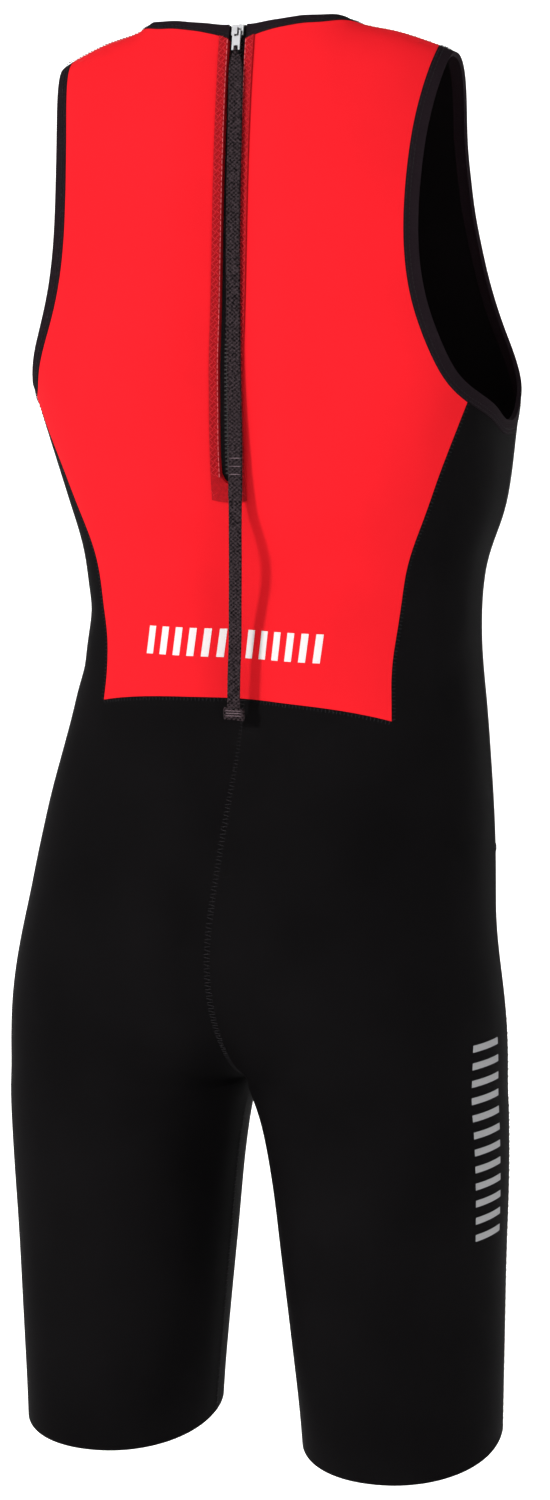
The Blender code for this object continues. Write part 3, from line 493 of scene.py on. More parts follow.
def make_patches():
    """All panel grids of the left half, as rows of angle and level, plus the two edge bands."""
    tip_b, tip_f = shoulder_angle(SHOULDER_TIP_X, 1), shoulder_angle(SHOULDER_TIP_X, -1)
    hole = ([tip_b] + [locate(p) for p in ARMHOLE if p.face > 0]
            + [(ARMHOLE_FOOT[0], level_of(ARMHOLE_FOOT[1]))]
            + [locate(p) for p in ARMHOLE if p.face < 0] + [tip_f])
    hole = curve_through(hole)
    hole_seam = offset_curve(hole, [BIND_WIDTH] * len(hole), 1)
    hole_seam[0] = np.array(shoulder_angle(SHOULDER_TIP_X - BIND_WIDTH, 1))
    hole_seam[-1] = np.array(shoulder_angle(SHOULDER_TIP_X - BIND_WIDTH, -1))

    seam_b, seam_f = shoulder_angle(NECK_SIDE_X, 1), shoulder_angle(NECK_SIDE_X, -1)
    neck_b = curve_through([locate(p) for p in NECK_BACK] + [seam_b])
    neck_f = curve_through([seam_f] + [locate(p) for p in NECK_FRONT])
    from_slit = [(form(a, max(l, 0.0))[0] - SLIT_HALF) / NECK_FLARE_REACH for a, l in neck_b]
    neck_b_seam = offset_curve(neck_b, [NECK_BIND + NECK_FLARE * math.exp(-x * x)
                                        for x in from_slit], 1)
    neck_f_seam = offset_curve(neck_f, [NECK_BIND] * len(neck_f), 1)
    neck_b_seam[-1] = np.array(shoulder_angle(NECK_SIDE_X + NECK_BIND, 1))
    neck_f_seam[0] = np.array(shoulder_angle(NECK_SIDE_X + NECK_BIND, -1))
    neck_f_seam[-1] = np.array((180.0, neck_f_seam[-1][1]))
    neck_b_seam[0] = np.array((slit_angle(neck_b_seam[0][1]), neck_b_seam[0][1]))

    foot = min(range(len(hole_seam)), key=lambda k: abs(hole_seam[k][0] - SIDE_SEAM_ANGLE))
    turn = next(k for k in range(foot, len(hole_seam)) if hole_seam[k][0] >= FRONT_TURN_ANGLE)
    red_tip = next(k for k in range(len(hole_seam)) if hole_seam[k][1] > level_of(RED_TIP_HEIGHT)
                   or k == foot - 14)
    back_hole = resample(hole_seam[:red_tip + 1], UPPER_ROWS)
    rear_arc = resample(hole_seam[red_tip:foot + 1], REAR_CELLS)
    turn_arc = resample(hole_seam[foot:turn + 1], TURN_CELLS)
    front_hole = resample(hole_seam[turn:], UPPER_ROWS)[::-1]
    edge_back = resample(hole[:red_tip + 1], UPPER_ROWS)
    edge_rear = resample(hole[red_tip:foot + 1], REAR_CELLS)
    edge_turn = resample(hole[foot:turn + 1], TURN_CELLS)
    edge_front = resample(hole[turn:], UPPER_ROWS)

    strip_x = SLIT_HALF + STRIP_WIDTH
    beyond = [q for q in neck_b_seam if form(q[0], q[1])[0] > strip_x + 2]
    strip_spot = np.array((slit_angle(beyond[0][1] + 1, strip_x), beyond[0][1] + 1))
    neck_back = [neck_b_seam[0], strip_spot] + resample(beyond, NECK_CELLS - 1)[1:]
    neck_front = resample(neck_f_seam, FRONT_NECK_CELLS)
    shoulder_xs = np.linspace(NECK_SIDE_X + NECK_BIND, SHOULDER_TIP_X - BIND_WIDTH,
                              SHOULDER_CELLS + 1)
    top_back = neck_back + [np.array(shoulder_angle(x, 1)) for x in shoulder_xs[1:]]
    top_front = ([np.array(shoulder_angle(x, -1)) for x in shoulder_xs[::-1]]
                 + neck_front[1:])
    return locals()


def build_grids():
    """Named grids of the left half, each a list of rows of angle and level."""
    p = make_patches()
    back_cells = NECK_CELLS + SHOULDER_CELLS
    front_cells = FRONT_NECK_CELLS + SHOULDER_CELLS
    strip_x = SLIT_HALF + STRIP_WIDTH
    grids = {}

    def with_strip(angle_of_first, end, cells):
        first, last = angle_of_first
        return [first, last] + straight(last, end, cells - 1)[1:]

    top_level = p["top_back"][0][1]
    tip_level = p["back_hole"][-1][1]
    left = [np.array((slit_angle(l), l)) for l in np.linspace(top_level, tip_level,
                                                             UPPER_ROWS + 1)]
    tip_line = with_strip((left[-1], np.array((slit_angle(tip_level, strip_x), tip_level))),
                          p["back_hole"][-1], back_cells)
    grids["back_upper"] = spread(p["top_back"], tip_line, left, p["back_hole"])
    for row in grids["back_upper"][1:]:
        row[1] = np.array((slit_angle(row[1][1], strip_x), row[1][1]))

    red_side = curve_through([p["back_hole"][-1]] + [side_edge_angle(e) for e in RED_SIDE])
    side_line = resample(red_side, LOWER_ROWS)
    foot_level = level_of(RED_FOOT_MIDDLE)
    slit_level = level_of(SLIT_FOOT)
    blunt = slit_level - SLIT_END
    strip_end = slit_level + STRIP_FOOT
    levels = ([tip_level, (tip_level + blunt) / 2, blunt, slit_level]
              + list(np.linspace(strip_end, foot_level, LOWER_ROWS - SLIT_ROWS)))
    middle = [np.array((slit_angle(l) if k < SLIT_ROWS else 0.0, l))
              for k, l in enumerate(levels)]
    foot_line = []
    foot_strip = np.array((slit_angle(foot_level, strip_x), foot_level))
    for k, spot in enumerate(with_strip((middle[-1], foot_strip), side_line[-1], back_cells)):
        share = spot[0] / side_line[-1][0]
        foot_line.append(np.array((spot[0], foot_level + (side_line[-1][1] - foot_level)
                                   * share ** 2)))
    grids["back_lower"] = spread(tip_line, foot_line, middle, side_line)
    for row in grids["back_lower"][:-1]:
        row[1] = np.array((slit_angle(row[1][1], strip_x), row[1][1]))

    seam_levels = np.linspace(p["rear_arc"][-1][1], side_line[-1][1], LOWER_ROWS + 1)
    side_seam = [np.array((SIDE_SEAM_ANGLE, l)) for l in seam_levels]
    side_seam[0] = p["rear_arc"][-1]
    rear_foot = straight(side_line[-1], side_seam[-1], REAR_CELLS)
    grids["side_back"] = coons(p["rear_arc"], rear_foot, side_line, side_seam)

    waist = foot_line + rear_foot[1:]
    rows = SEAT_ROWS
    crotch_line = [np.array((SIDE_SEAM_ANGLE * k / (len(waist) - 1), CROTCH_LEVEL))
                   for k in range(len(waist))]
    seat_mid = straight(waist[0], crotch_line[0], rows)
    seat_side = straight(waist[-1], crotch_line[-1], rows)
    grids["seat"] = coons(waist, crotch_line, seat_mid, seat_side)
    hem = [np.array((c[0], HEM_LEVEL)) for c in crotch_line]
    grids["thigh_back"] = coons(crotch_line, hem, straight(crotch_line[0], hem[0], THIGH_ROWS),
                                straight(crotch_line[-1], hem[-1], THIGH_ROWS))

    turn_levels = np.linspace(p["turn_arc"][-1][1], side_line[-1][1], LOWER_ROWS + 1)
    turn_line = [np.array((FRONT_TURN_ANGLE, l)) for l in turn_levels]
    turn_line[0] = p["turn_arc"][-1]
    turn_foot = straight(side_seam[-1], turn_line[-1], TURN_CELLS)
    grids["side_front"] = coons(p["turn_arc"], turn_foot, side_seam, turn_line)

    chest_line = straight(p["turn_arc"][-1], (180.0, tip_level), front_cells)
    front_mid = straight(p["top_front"][-1], (180.0, tip_level), UPPER_ROWS)
    grids["front_upper"] = coons(p["top_front"], chest_line, p["front_hole"], front_mid,
                                 fade=2.5)
    belly_line = straight(turn_line[-1], (180.0, side_line[-1][1]), front_cells)
    belly_mid = straight(chest_line[-1], belly_line[-1], LOWER_ROWS)
    grids["front_lower"] = coons(chest_line, belly_line, turn_line, belly_mid)

    waist_front = turn_foot + belly_line[1:]
    count = len(waist_front)
    hip_line = []
    for k in range(count):
        angle = SIDE_SEAM_ANGLE + (180 - SIDE_SEAM_ANGLE) * k / (count - 1)
        share = (k / (count - 1)) ** 1.5
        hip_line.append(np.array((angle, level_of(HIP_LINE_SIDE + share
                                                  * (HIP_LINE_MIDDLE - HIP_LINE_SIDE)))))
    seat_levels = [row[-1] for row in grids["seat"]]
    hip_rows = min(range(len(seat_levels)),
                   key=lambda k: abs(seat_levels[k][1] - level_of(HIP_LINE_SIDE)))
    hip_line[0] = seat_levels[hip_rows]
    grids["hip_front"] = coons(waist_front, hip_line, seat_levels[:hip_rows + 1],
                               straight(waist_front[-1], hip_line[-1], hip_rows))
    front_crotch = [np.array((SIDE_SEAM_ANGLE + (180 - SIDE_SEAM_ANGLE) * k / (count - 1),
                              CROTCH_LEVEL)) for k in range(count)]
    left_rows = rows - hip_rows
    grids["groin"] = coons(hip_line, front_crotch, seat_levels[hip_rows:],
                           straight(hip_line[-1], front_crotch[-1], left_rows))
    front_hem = [np.array((c[0], HEM_LEVEL)) for c in front_crotch]
    grids["thigh_front"] = coons(front_crotch, front_hem,
                                 straight(front_crotch[0], front_hem[0], THIGH_ROWS),
                                 straight(front_crotch[-1], front_hem[-1], THIGH_ROWS))
    seam_b = p["top_back"][:NECK_CELLS + 1]
    neck_edge_b = [np.array(slide_to_edge(s, p["neck_b"])) for s in seam_b]
    neck_edge_b[0] = p["neck_b"][0]
    neck_edge_b[-1] = np.array(shoulder_angle(NECK_SIDE_X, 1))
    neck_edge_f = resample(p["neck_f"], FRONT_NECK_CELLS)
    seam_f = p["top_front"][SHOULDER_CELLS:]
    grids["neck_band_back"] = [neck_edge_b, seam_b]
    grids["neck_band_front"] = [neck_edge_f, seam_f]
    grids["hole_band"] = [p["edge_back"] + p["edge_rear"][1:] + p["edge_turn"][1:]
                          + p["edge_front"][1:],
                          p["back_hole"] + p["rear_arc"][1:] + p["turn_arc"][1:]
                          + p["front_hole"][::-1][1:]]
    return grids


def slide_to_edge(spot, curve):
    """The place on a dense curve that lies nearest to a spot."""
    here = skin(spot[0], max(spot[1], 0.0))
    return min(curve, key=lambda c: np.linalg.norm(skin(c[0], max(c[1], 0.0)) - here))


# Soft creases, each along a line over the cloth from one angle and height to another.
Crease = namedtuple("Crease", "side angle_a height_a angle_b height_b depth width")
CREASES = (
    Crease(1, 78, -368, 40, -392, 1.3, 9), Crease(-1, 80, -360, 46, -380, 1.5, 10),
    Crease(1, 84, -410, 52, -424, 0.9, 8), Crease(-1, 82, -402, 44, -418, 1.1, 8),
    Crease(-1, 78, -440, 55, -448, 0.8, 7), Crease(1, 62, -222, 44, -248, 0.9, 9),
    Crease(-1, 64, -226, 50, -262, 1.0, 9), Crease(1, 16, -652, 66, -640, 1.7, 12),
    Crease(-1, 18, -655, 72, -636, 1.5, 12), Crease(1, 24, -706, 58, -716, 0.9, 9),
    Crease(-1, 20, -700, 50, -712, 1.0, 9), Crease(-1, 70, -770, 40, -782, 0.7, 8),
    Crease(1, 66, -806, 44, -812, 0.6, 8), Crease(1, 176, -470, 128, -458, 1.2, 9),
    Crease(-1, 174, -482, 134, -472, 1.0, 9), Crease(-1, 170, -390, 124, -378, 1.3, 10),
    Crease(1, 168, -402, 130, -394, 0.9, 8), Crease(1, 168, -640, 112, -606, 2.0, 10),
    Crease(-1, 166, -636, 116, -600, 1.8, 10), Crease(1, 160, -668, 126, -650, 1.2, 8),
    Crease(-1, 162, -672, 120, -654, 1.3, 8), Crease(1, 118, -232, 150, -214, 1.2, 11),
    Crease(-1, 120, -230, 148, -208, 1.3, 11), Crease(1, 150, -756, 112, -742, 0.8, 8),
    Crease(-1, 146, -772, 110, -760, 0.9, 9),
)
CREASE_STEPS = 5
# Seams at the red panel's edge have short stitches, this far into the black cloth or off the line.
SEAM_SHIFTS = {"back_side": -0.0014, "back_foot": 0.0014, "shoulder": 0.0006}
CORNER_COSINE = 0.8
TAPE_DIP = 2.5
PRINT_WALL, PRINT_LIFT, PRINT_REACH = 0.3, 0.18, 5.0

# The tab's lower opening and its foot, up the zip from the slider, and the loop through them.
TAB_SLOT, TAB_FOOT = -10.05, -12.0
LOOP_DEEP, LOOP_WIDE, LOOP_THICK = 0.0014, 0.0011, 0.0006
RIDGE_SHARE = 0.3

# One turn of a weave's wave in radians, and the weave of the sewing threads.
FULL_TURN = 6.2832
FINE_THREAD = (("Ribs per metre", 2500.0), ("Rows per metre", 2500.0))

# The heights below the origin between which the doubled webbing is stitched, in millimetres,
# and the stitches there and at the folded end, in metres.
LEASH_SEWN_FROM, LEASH_SEWN_TO = 268, 283
LEASH_STITCH, END_STITCH, STITCH_THICK = 0.0078, 0.0105, 0.0006

# What each piece is cut to: its width and length and its flat area, in metres.
Cut = namedtuple("Cut", "width length area")
CUTS = {
    "back_panel": Cut(0.325, 0.450, 0.101), "rear_left": Cut(0.305, 0.755, 0.140),
    "rear_right": Cut(0.305, 0.755, 0.140), "front_panel": Cut(0.450, 0.620, 0.168),
    "front_leg_left": Cut(0.250, 0.415, 0.079), "front_leg_right": Cut(0.250, 0.415, 0.078),
    "neck_binding": Cut(0.010, 0.500, 0.0033), "armhole_binding": Cut(0.010, 0.665, 0.0061),
    "zip_strip": Cut(0.024, 0.310, 0.0042), "zip_tape": Cut(0.025, 0.312, 0.0075),
}

# The plain printed bars on the lower back and the right thigh: a row of slanting bars between
# two heights, and a column of level bars between two angles. Heights are in millimetres.
BACK_BAR_COUNT, BACK_BAR_FROM, BACK_BAR_TO = 13, -57.0, 61.0
BACK_BAR_TOP, BACK_BAR_FOOT, BACK_BAR_LEAN, BACK_BAR_WIDE = -380.0, -398.0, 3.0, 4.6
THIGH_BAR_COUNT, THIGH_BAR_FROM, THIGH_BAR_TO = 12, 77.0, 88.0
THIGH_BAR_TOP, THIGH_BAR_FOOT, THIGH_BAR_TALL = -640.0, -770.0, 4.5


class ClothLook(bpy.types.PropertyGroup):
    """Colours and sizes of the panels and bindings."""
    red: bpy.props.FloatVectorProperty(
        name="Back panel", description="Colour of the back panel", subtype="COLOR", size=3,
        min=0.0, max=1.0, default=(0.51, 0.0088, 0.0138))
    black: bpy.props.FloatVectorProperty(
        name="Black cloth", description="Colour of the black panels", subtype="COLOR", size=3,
        min=0.0, max=1.0, default=(0.0030, 0.0027, 0.0029))
    binding: bpy.props.FloatVectorProperty(
        name="Binding", description="Colour of the neck and armhole bindings", subtype="COLOR",
        size=3, min=0.0, max=1.0, default=(0.0085, 0.0056, 0.0072))
    thread: bpy.props.FloatVectorProperty(
        name="Seam thread", description="Colour of the seam stitches", subtype="COLOR", size=3,
        min=0.0, max=1.0, default=(0.012, 0.011, 0.012))
    print_white: bpy.props.FloatVectorProperty(
        name="Back print", description="Colour of the bars on the lower back", subtype="COLOR",
        size=3, min=0.0, max=1.0, default=(0.52, 0.48, 0.48))
    print_grey: bpy.props.FloatVectorProperty(
        name="Thigh print", description="Colour of the bars on the right thigh", subtype="COLOR",
        size=3, min=0.0, max=1.0, default=(0.22, 0.22, 0.225))
    wall: bpy.props.FloatProperty(
        name="Cloth thickness", description="Thickness of the neoprene", default=WALL * MM,
        min=0.001, max=0.006, unit="LENGTH", subtype="DISTANCE")
    stitch_pitch: bpy.props.FloatProperty(
        name="Stitch pitch", description="Distance between seam stitches", default=0.0024,
        min=0.001, max=0.01, unit="LENGTH", subtype="DISTANCE")
    stitch_span: bpy.props.FloatProperty(
        name="Stitch span", description="How far a stitch reaches across its seam",
        default=0.0044, min=0.001, max=0.01, unit="LENGTH", subtype="DISTANCE")


class ZipLook(bpy.types.PropertyGroup):
    """Colours and sizes of the zip and its leash."""
    strip: bpy.props.FloatVectorProperty(
        name="Zip strip", description="Colour of the tape beside the zip", subtype="COLOR",
        size=3, min=0.0, max=1.0, default=(0.25, 0.006, 0.009))
    strip_thread: bpy.props.FloatVectorProperty(
        name="Strip thread", description="Colour of the zigzag on the tape", subtype="COLOR",
        size=3, min=0.0, max=1.0, default=(0.38, 0.016, 0.022))
    edge_thread: bpy.props.FloatVectorProperty(
        name="Edge thread", description="Colour of the stitches at the slit", subtype="COLOR",
        size=3, min=0.0, max=1.0, default=(0.44, 0.09, 0.10))
    tape: bpy.props.FloatVectorProperty(
        name="Zip tape", description="Colour of the tape and teeth", subtype="COLOR", size=3,
        min=0.0, max=1.0, default=(0.012, 0.010, 0.011))
    metal: bpy.props.FloatVectorProperty(
        name="Metal", description="Colour of the slider and tab", subtype="COLOR", size=3,
        min=0.0, max=1.0, default=(0.20, 0.20, 0.205))
    webbing: bpy.props.FloatVectorProperty(
        name="Webbing", description="Colour of the leash", subtype="COLOR", size=3, min=0.0,
        max=1.0, default=(0.0175, 0.0124, 0.0140))
    tooth_pitch: bpy.props.FloatProperty(
        name="Tooth pitch", description="Distance between teeth on one side", default=0.0026,
        min=0.001, max=0.006, unit="LENGTH", subtype="DISTANCE")
    zigzag_pitch: bpy.props.FloatProperty(
        name="Zigzag pitch", description="Distance between the zigzag's turns", default=0.0021,
        min=0.001, max=0.006, unit="LENGTH", subtype="DISTANCE")


class StudioLook(bpy.types.PropertyGroup):
    """The floor, the light and the camera's place."""
    floor: bpy.props.FloatVectorProperty(
        name="Floor", description="Colour of the floor and backdrop", subtype="COLOR", size=3,
        min=0.0, max=1.0, default=(0.93, 0.93, 0.93))
    light: bpy.props.FloatProperty(
        name="Light", description="Share of the usual light", default=1.0, min=0.1, max=4.0)
    distance: bpy.props.FloatProperty(
        name="Camera distance", description="Level distance from the suit's middle line",
        default=2.1, min=1.0, max=6.0, unit="LENGTH", subtype="DISTANCE")


def cloth_look():
    return bpy.context.scene.wetsuit_cloth


def zip_look():
    return bpy.context.scene.wetsuit_zip


def studio_look():
    return bpy.context.scene.wetsuit_studio


@lru_cache(maxsize=None)
def all_grids():
    return build_grids()


@lru_cache(maxsize=None)
def crease_lines():
    """Each crease as a line of points in space."""
    lines = []
    for crease in CREASES:
        spots = []
        for k in range(CREASE_STEPS + 1):
            t = k / CREASE_STEPS
            angle = crease.angle_a + (crease.angle_b - crease.angle_a) * t
            height = crease.height_a + (crease.height_b - crease.height_a) * t
            spots.append(skin(angle, level_of(height), crease.side))
        lines.append(np.array(spots))
    return lines


def crease_depth(places):
    """How far the creases push each place in, in metres."""
    places = np.asarray(places)
    total = np.zeros(len(places))
    for crease, line in zip(CREASES, crease_lines()):
        best = np.full(len(places), np.inf)
        along = np.zeros(len(places))
        for k, (a, b) in enumerate(zip(line, line[1:])):
            t = np.clip((places - a) @ (b - a) / np.dot(b - a, b - a), 0, 1)
            far = np.linalg.norm(places - a - t[:, None] * (b - a), axis=1)
            along = np.where(far < best, (k + t) / CREASE_STEPS, along)
            best = np.minimum(best, far)
        width = crease.width * MM
        fade = 1 - np.abs(2 * along - 1) ** 3
        trough = np.exp(-(best / width) ** 2)
        ridge = RIDGE_SHARE * np.exp(-((best - 1.8 * width) / width) ** 2)
        total += crease.depth * MM * fade * (trough - ridge)
    return total


class Wall:
    """A closed wall of cloth from grids of angle and level, its points moved out by lift."""

    def __init__(self, wall, lift=0.0, gap=SEAM_GAP / 4):
        self.wall, self.lift, self.gap = wall * MM, lift * MM, gap * MM
        self.points, self.normals, self.keys, self.faces = [], [], {}, []

    def vertex(self, spot, side):
        angle, level = spot[0], max(spot[1], 0.0)
        place = skin(angle, level, side)
        key = tuple(np.round(place, 6) + 0.0)
        if key not in self.keys:
            self.keys[key] = len(self.points)
            self.points.append(place)
            self.normals.append(normal(angle, level, side))
        return self.keys[key]

    def add(self, grid, side, cols=None):
        first, last = cols or (0, len(grid[0]) - 1)
        for j in range(len(grid) - 1):
            for i in range(first, last):
                quad = [self.vertex(grid[b][a], side)
                        for b, a in ((j, i), (j + 1, i), (j + 1, i + 1), (j, i + 1))]
                quad = [q for k, q in enumerate(quad) if q != quad[k - 1]]
                if side < 0:
                    quad.reverse()
                if len(quad) >= 3:
                    self.faces.append(quad)
        return self

    def build(self, name, material, smooth=1, on=None):
        """The wall as an object, its rim and corners firm, the rest smoothed, or laid on a tree."""
        border = {}
        for face in self.faces:
            for a, b in zip(face, face[1:] + face[:1]):
                if (b, a) in border:
                    del border[(b, a)]
                else:
                    border[(a, b)] = True
        pulls = {}
        for a, b in border:
            edge = self.points[b] - self.points[a]
            for v in (a, b):
                inward = np.cross(edge, self.normals[v])
                pulls.setdefault(v, []).append(inward / np.linalg.norm(inward))
        outer, corners = np.array(self.points), set()
        for v, ways in pulls.items():
            mid = ways[0] + ways[-1]
            if np.dot(ways[0], ways[-1]) < CORNER_COSINE:
                corners.add(v)
            outer[v] += mid / max(np.dot(mid, ways[0]), 0.35) * self.gap
        normals = np.array(self.normals)
        outer = outer - normals * crease_depth(outer)[:, None]
        if on:
            outer = np.array([pressed(on, spot, out) for spot, out in zip(outer, normals)])
        mesh = bmesh.new()
        firm = mesh.edges.layers.float.new("crease_edge")
        fixed = mesh.verts.layers.float.new("crease_vert")
        top = [mesh.verts.new(p) for p in outer + normals * self.lift]
        low = [mesh.verts.new(p) for p in outer + normals * (self.lift - self.wall)]
        for face in self.faces:
            mesh.faces.new([top[v] for v in face])
            mesh.faces.new([low[v] for v in reversed(face)])
        for a, b in border:
            mesh.faces.new((top[b], top[a], low[a], low[b]))
            for row in (top, low):
                mesh.edges.get((row[a], row[b]))[firm] = 1.0
        for v in corners:
            top[v][fixed] = low[v][fixed] = 1.0
        bmesh.ops.recalc_face_normals(mesh, faces=mesh.faces)
        obj = to_object(mesh, name, material)
        if smooth:
            change = obj.modifiers.new("smooth", "SUBSURF")
            change.levels = change.render_levels = smooth
        return obj


def pressed(tree, spot, out):
    """A spot moved along its way out onto the surface under it."""
    above = Vector(spot) + Vector(out) * PRINT_REACH * MM
    hit = tree.ray_cast(above, -Vector(out), 2 * PRINT_REACH * MM)[0]
    return np.array(hit) if hit else spot


def to_object(mesh, name, material, smooth_angle=40):
    data = bpy.data.meshes.new(name)
    mesh.to_mesh(data)
    mesh.free()
    data.materials.append(material)
    data.shade_smooth()
    data.set_sharp_from_angle(angle=math.radians(smooth_angle))
    obj = bpy.data.objects.new(name, data)
    bpy.context.collection.objects.link(obj)
    return obj


def settle(obj, body, slot, *nodes):
    """The object rides on a body and stands for its nodes; the slot is not used."""
    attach(obj, body)
    if nodes:
        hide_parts(*nodes)
    return obj


def add_group(name, inputs, outputs):
    """A node group with named number inputs and named outputs."""
    group = bpy.data.node_groups.new(name, "ShaderNodeTree")
    for label, value in inputs:
        socket = group.interface.new_socket(label, in_out="INPUT", socket_type="NodeSocketFloat")
        socket.default_value = value
    for label in outputs:
        group.interface.new_socket(label, in_out="OUTPUT", socket_type="NodeSocketFloat")
    start = group.nodes.new("NodeGroupInput")
    end = group.nodes.new("NodeGroupOutput")
    return group, start, end


def node(tree, kind, **values):
    made = tree.nodes.new(kind)
    for key, value in values.items():
        setattr(made, key, value)
    return made


def calc(tree, operation, a, b=None):
    """A math node whose inputs are sockets or numbers."""
    made = node(tree, "ShaderNodeMath", operation=operation)
    for socket, value in zip(made.inputs, (a, b)):
        if value is None:
            continue
        if isinstance(value, (int, float)):
            socket.default_value = value
        else:
            tree.links.new(value, socket)
    return made.outputs[0]


@lru_cache(maxsize=None)
def knit_group():
    """Fine jersey knit over foam: rows of small loops with some unevenness."""
    group, start, end = add_group("Jersey Knit", (("Rows per metre", 1400.0), ("Unevenness", 0.5)),
                                  ("Height", "Tone"))
    place = node(group, "ShaderNodeTexCoord").outputs["Object"]
    split = node(group, "ShaderNodeSeparateXYZ")
    group.links.new(place, split.inputs[0])
    turn = calc(group, "MULTIPLY", start.outputs["Rows per metre"], FULL_TURN)
    across = calc(group, "ADD", split.outputs["X"],
                  calc(group, "MULTIPLY", split.outputs["Y"], 0.8))
    rib = calc(group, "SINE", calc(group, "MULTIPLY", across, turn))
    row = calc(group, "SINE", calc(group, "MULTIPLY", split.outputs["Z"], turn))
    loops = calc(group, "MULTIPLY", rib, row)
    noise = node(group, "ShaderNodeTexNoise")
    noise.inputs["Scale"].default_value = 900.0
    noise.inputs["Detail"].default_value = 2.0
    group.links.new(place, noise.inputs["Vector"])
    rough = calc(group, "MULTIPLY", calc(group, "SUBTRACT", noise.outputs[0], 0.5),
                 start.outputs["Unevenness"])
    height = calc(group, "ADD", calc(group, "MULTIPLY", loops, 0.35), rough)
    cloud = node(group, "ShaderNodeTexNoise")
    cloud.inputs["Scale"].default_value = 14.0
    cloud.inputs["Detail"].default_value = 4.0
    group.links.new(place, cloud.inputs["Vector"])
    tone = calc(group, "ADD", calc(group, "MULTIPLY", loops, 0.12), cloud.outputs[0])
    group.links.new(height, end.inputs["Height"])
    group.links.new(tone, end.inputs["Tone"])
    return group


@lru_cache(maxsize=None)
def woven_group():
    """A flat woven tape: ribs along it crossed by weft rows."""
    group, start, end = add_group(
        "Tape Weave", (("Ribs per metre", 900.0), ("Rows per metre", 700.0)), ("Height", "Tone"))
    place = node(group, "ShaderNodeTexCoord").outputs["Object"]
    split = node(group, "ShaderNodeSeparateXYZ")
    group.links.new(place, split.inputs[0])
    ribs = calc(group, "SINE", calc(group, "MULTIPLY", split.outputs["X"], calc(
        group, "MULTIPLY", start.outputs["Ribs per metre"], FULL_TURN)))
    rows = calc(group, "SINE", calc(group, "MULTIPLY", split.outputs["Z"], calc(
        group, "MULTIPLY", start.outputs["Rows per metre"], FULL_TURN)))
    woven = calc(group, "MULTIPLY", ribs, rows)
    noise = node(group, "ShaderNodeTexNoise")
    noise.inputs["Scale"].default_value = 600.0
    group.links.new(place, noise.inputs["Vector"])
    height = calc(group, "ADD", woven, noise.outputs[0])
    tone = calc(group, "ADD", calc(group, "MULTIPLY", woven, 0.2), noise.outputs[0])
    group.links.new(height, end.inputs["Height"])
    group.links.new(tone, end.inputs["Tone"])
    return group


def cloth_material(name, colour, group, roughness=0.62, sheen=0.02, bump=0.25, spread=0.22,
                   settings=(), reach=0.0004, gloss=0.006):
    """Cloth with a knit or weave in its height and a slight unevenness of tone."""
    material = bpy.data.materials.new(name)
    material.use_nodes = True
    tree = material.node_tree
    shader = tree.nodes["Principled BSDF"]
    shader.inputs["Sheen Weight"].default_value = sheen
    shader.inputs["Sheen Roughness"].default_value = 0.45
    shader.inputs["Specular IOR Level"].default_value = gloss
    weave = node(tree, "ShaderNodeGroup")
    weave.node_tree = group
    for label, value in settings:
        weave.inputs[label].default_value = value
    ramp = node(tree, "ShaderNodeValToRGB")
    ramp.color_ramp.elements[0].position = 0.25
    ramp.color_ramp.elements[1].position = 0.75
    dark = tuple(c * (1 - spread) for c in colour)
    light = tuple(min(c * (1 + spread), 1.0) for c in colour)
    ramp.color_ramp.elements[0].color = (*dark, 1.0)
    ramp.color_ramp.elements[1].color = (*light, 1.0)
    tree.links.new(weave.outputs["Tone"], ramp.inputs[0])
    tree.links.new(ramp.outputs[0], shader.inputs["Base Color"])
    rough = node(tree, "ShaderNodeMapRange")
    rough.inputs["To Min"].default_value = roughness - 0.06
    rough.inputs["To Max"].default_value = roughness + 0.08
    tree.links.new(weave.outputs["Tone"], rough.inputs["Value"])
    tree.links.new(rough.outputs[0], shader.inputs["Roughness"])
    lift = node(tree, "ShaderNodeBump")
    lift.inputs["Strength"].default_value = bump
    lift.inputs["Distance"].default_value = reach
    tree.links.new(weave.outputs["Height"], lift.inputs["Height"])
    tree.links.new(lift.outputs[0], shader.inputs["Normal"])
    return material


def metal_material(name, colour):
    """Plated metal with fine handling marks."""
    material = bpy.data.materials.new(name)
    material.use_nodes = True
    tree = material.node_tree
    shader = tree.nodes["Principled BSDF"]
    shader.inputs["Metallic"].default_value = 1.0
    shader.inputs["Base Color"].default_value = (*colour, 1.0)
    place = node(tree, "ShaderNodeTexCoord").outputs["Object"]
    marks = node(tree, "ShaderNodeTexNoise")
    marks.inputs["Scale"].default_value = 700.0
    marks.inputs["Detail"].default_value = 6.0
    tree.links.new(place, marks.inputs["Vector"])
    rough = node(tree, "ShaderNodeMapRange")
    rough.inputs["To Min"].default_value = 0.22
    rough.inputs["To Max"].default_value = 0.42
    tree.links.new(marks.outputs[0], rough.inputs["Value"])
    tree.links.new(rough.outputs[0], shader.inputs["Roughness"])
    lift = node(tree, "ShaderNodeBump")
    lift.inputs["Strength"].default_value = 0.12
    lift.inputs["Distance"].default_value = 0.0001
    tree.links.new(marks.outputs[0], lift.inputs["Height"])
    tree.links.new(lift.outputs[0], shader.inputs["Normal"])
    return material


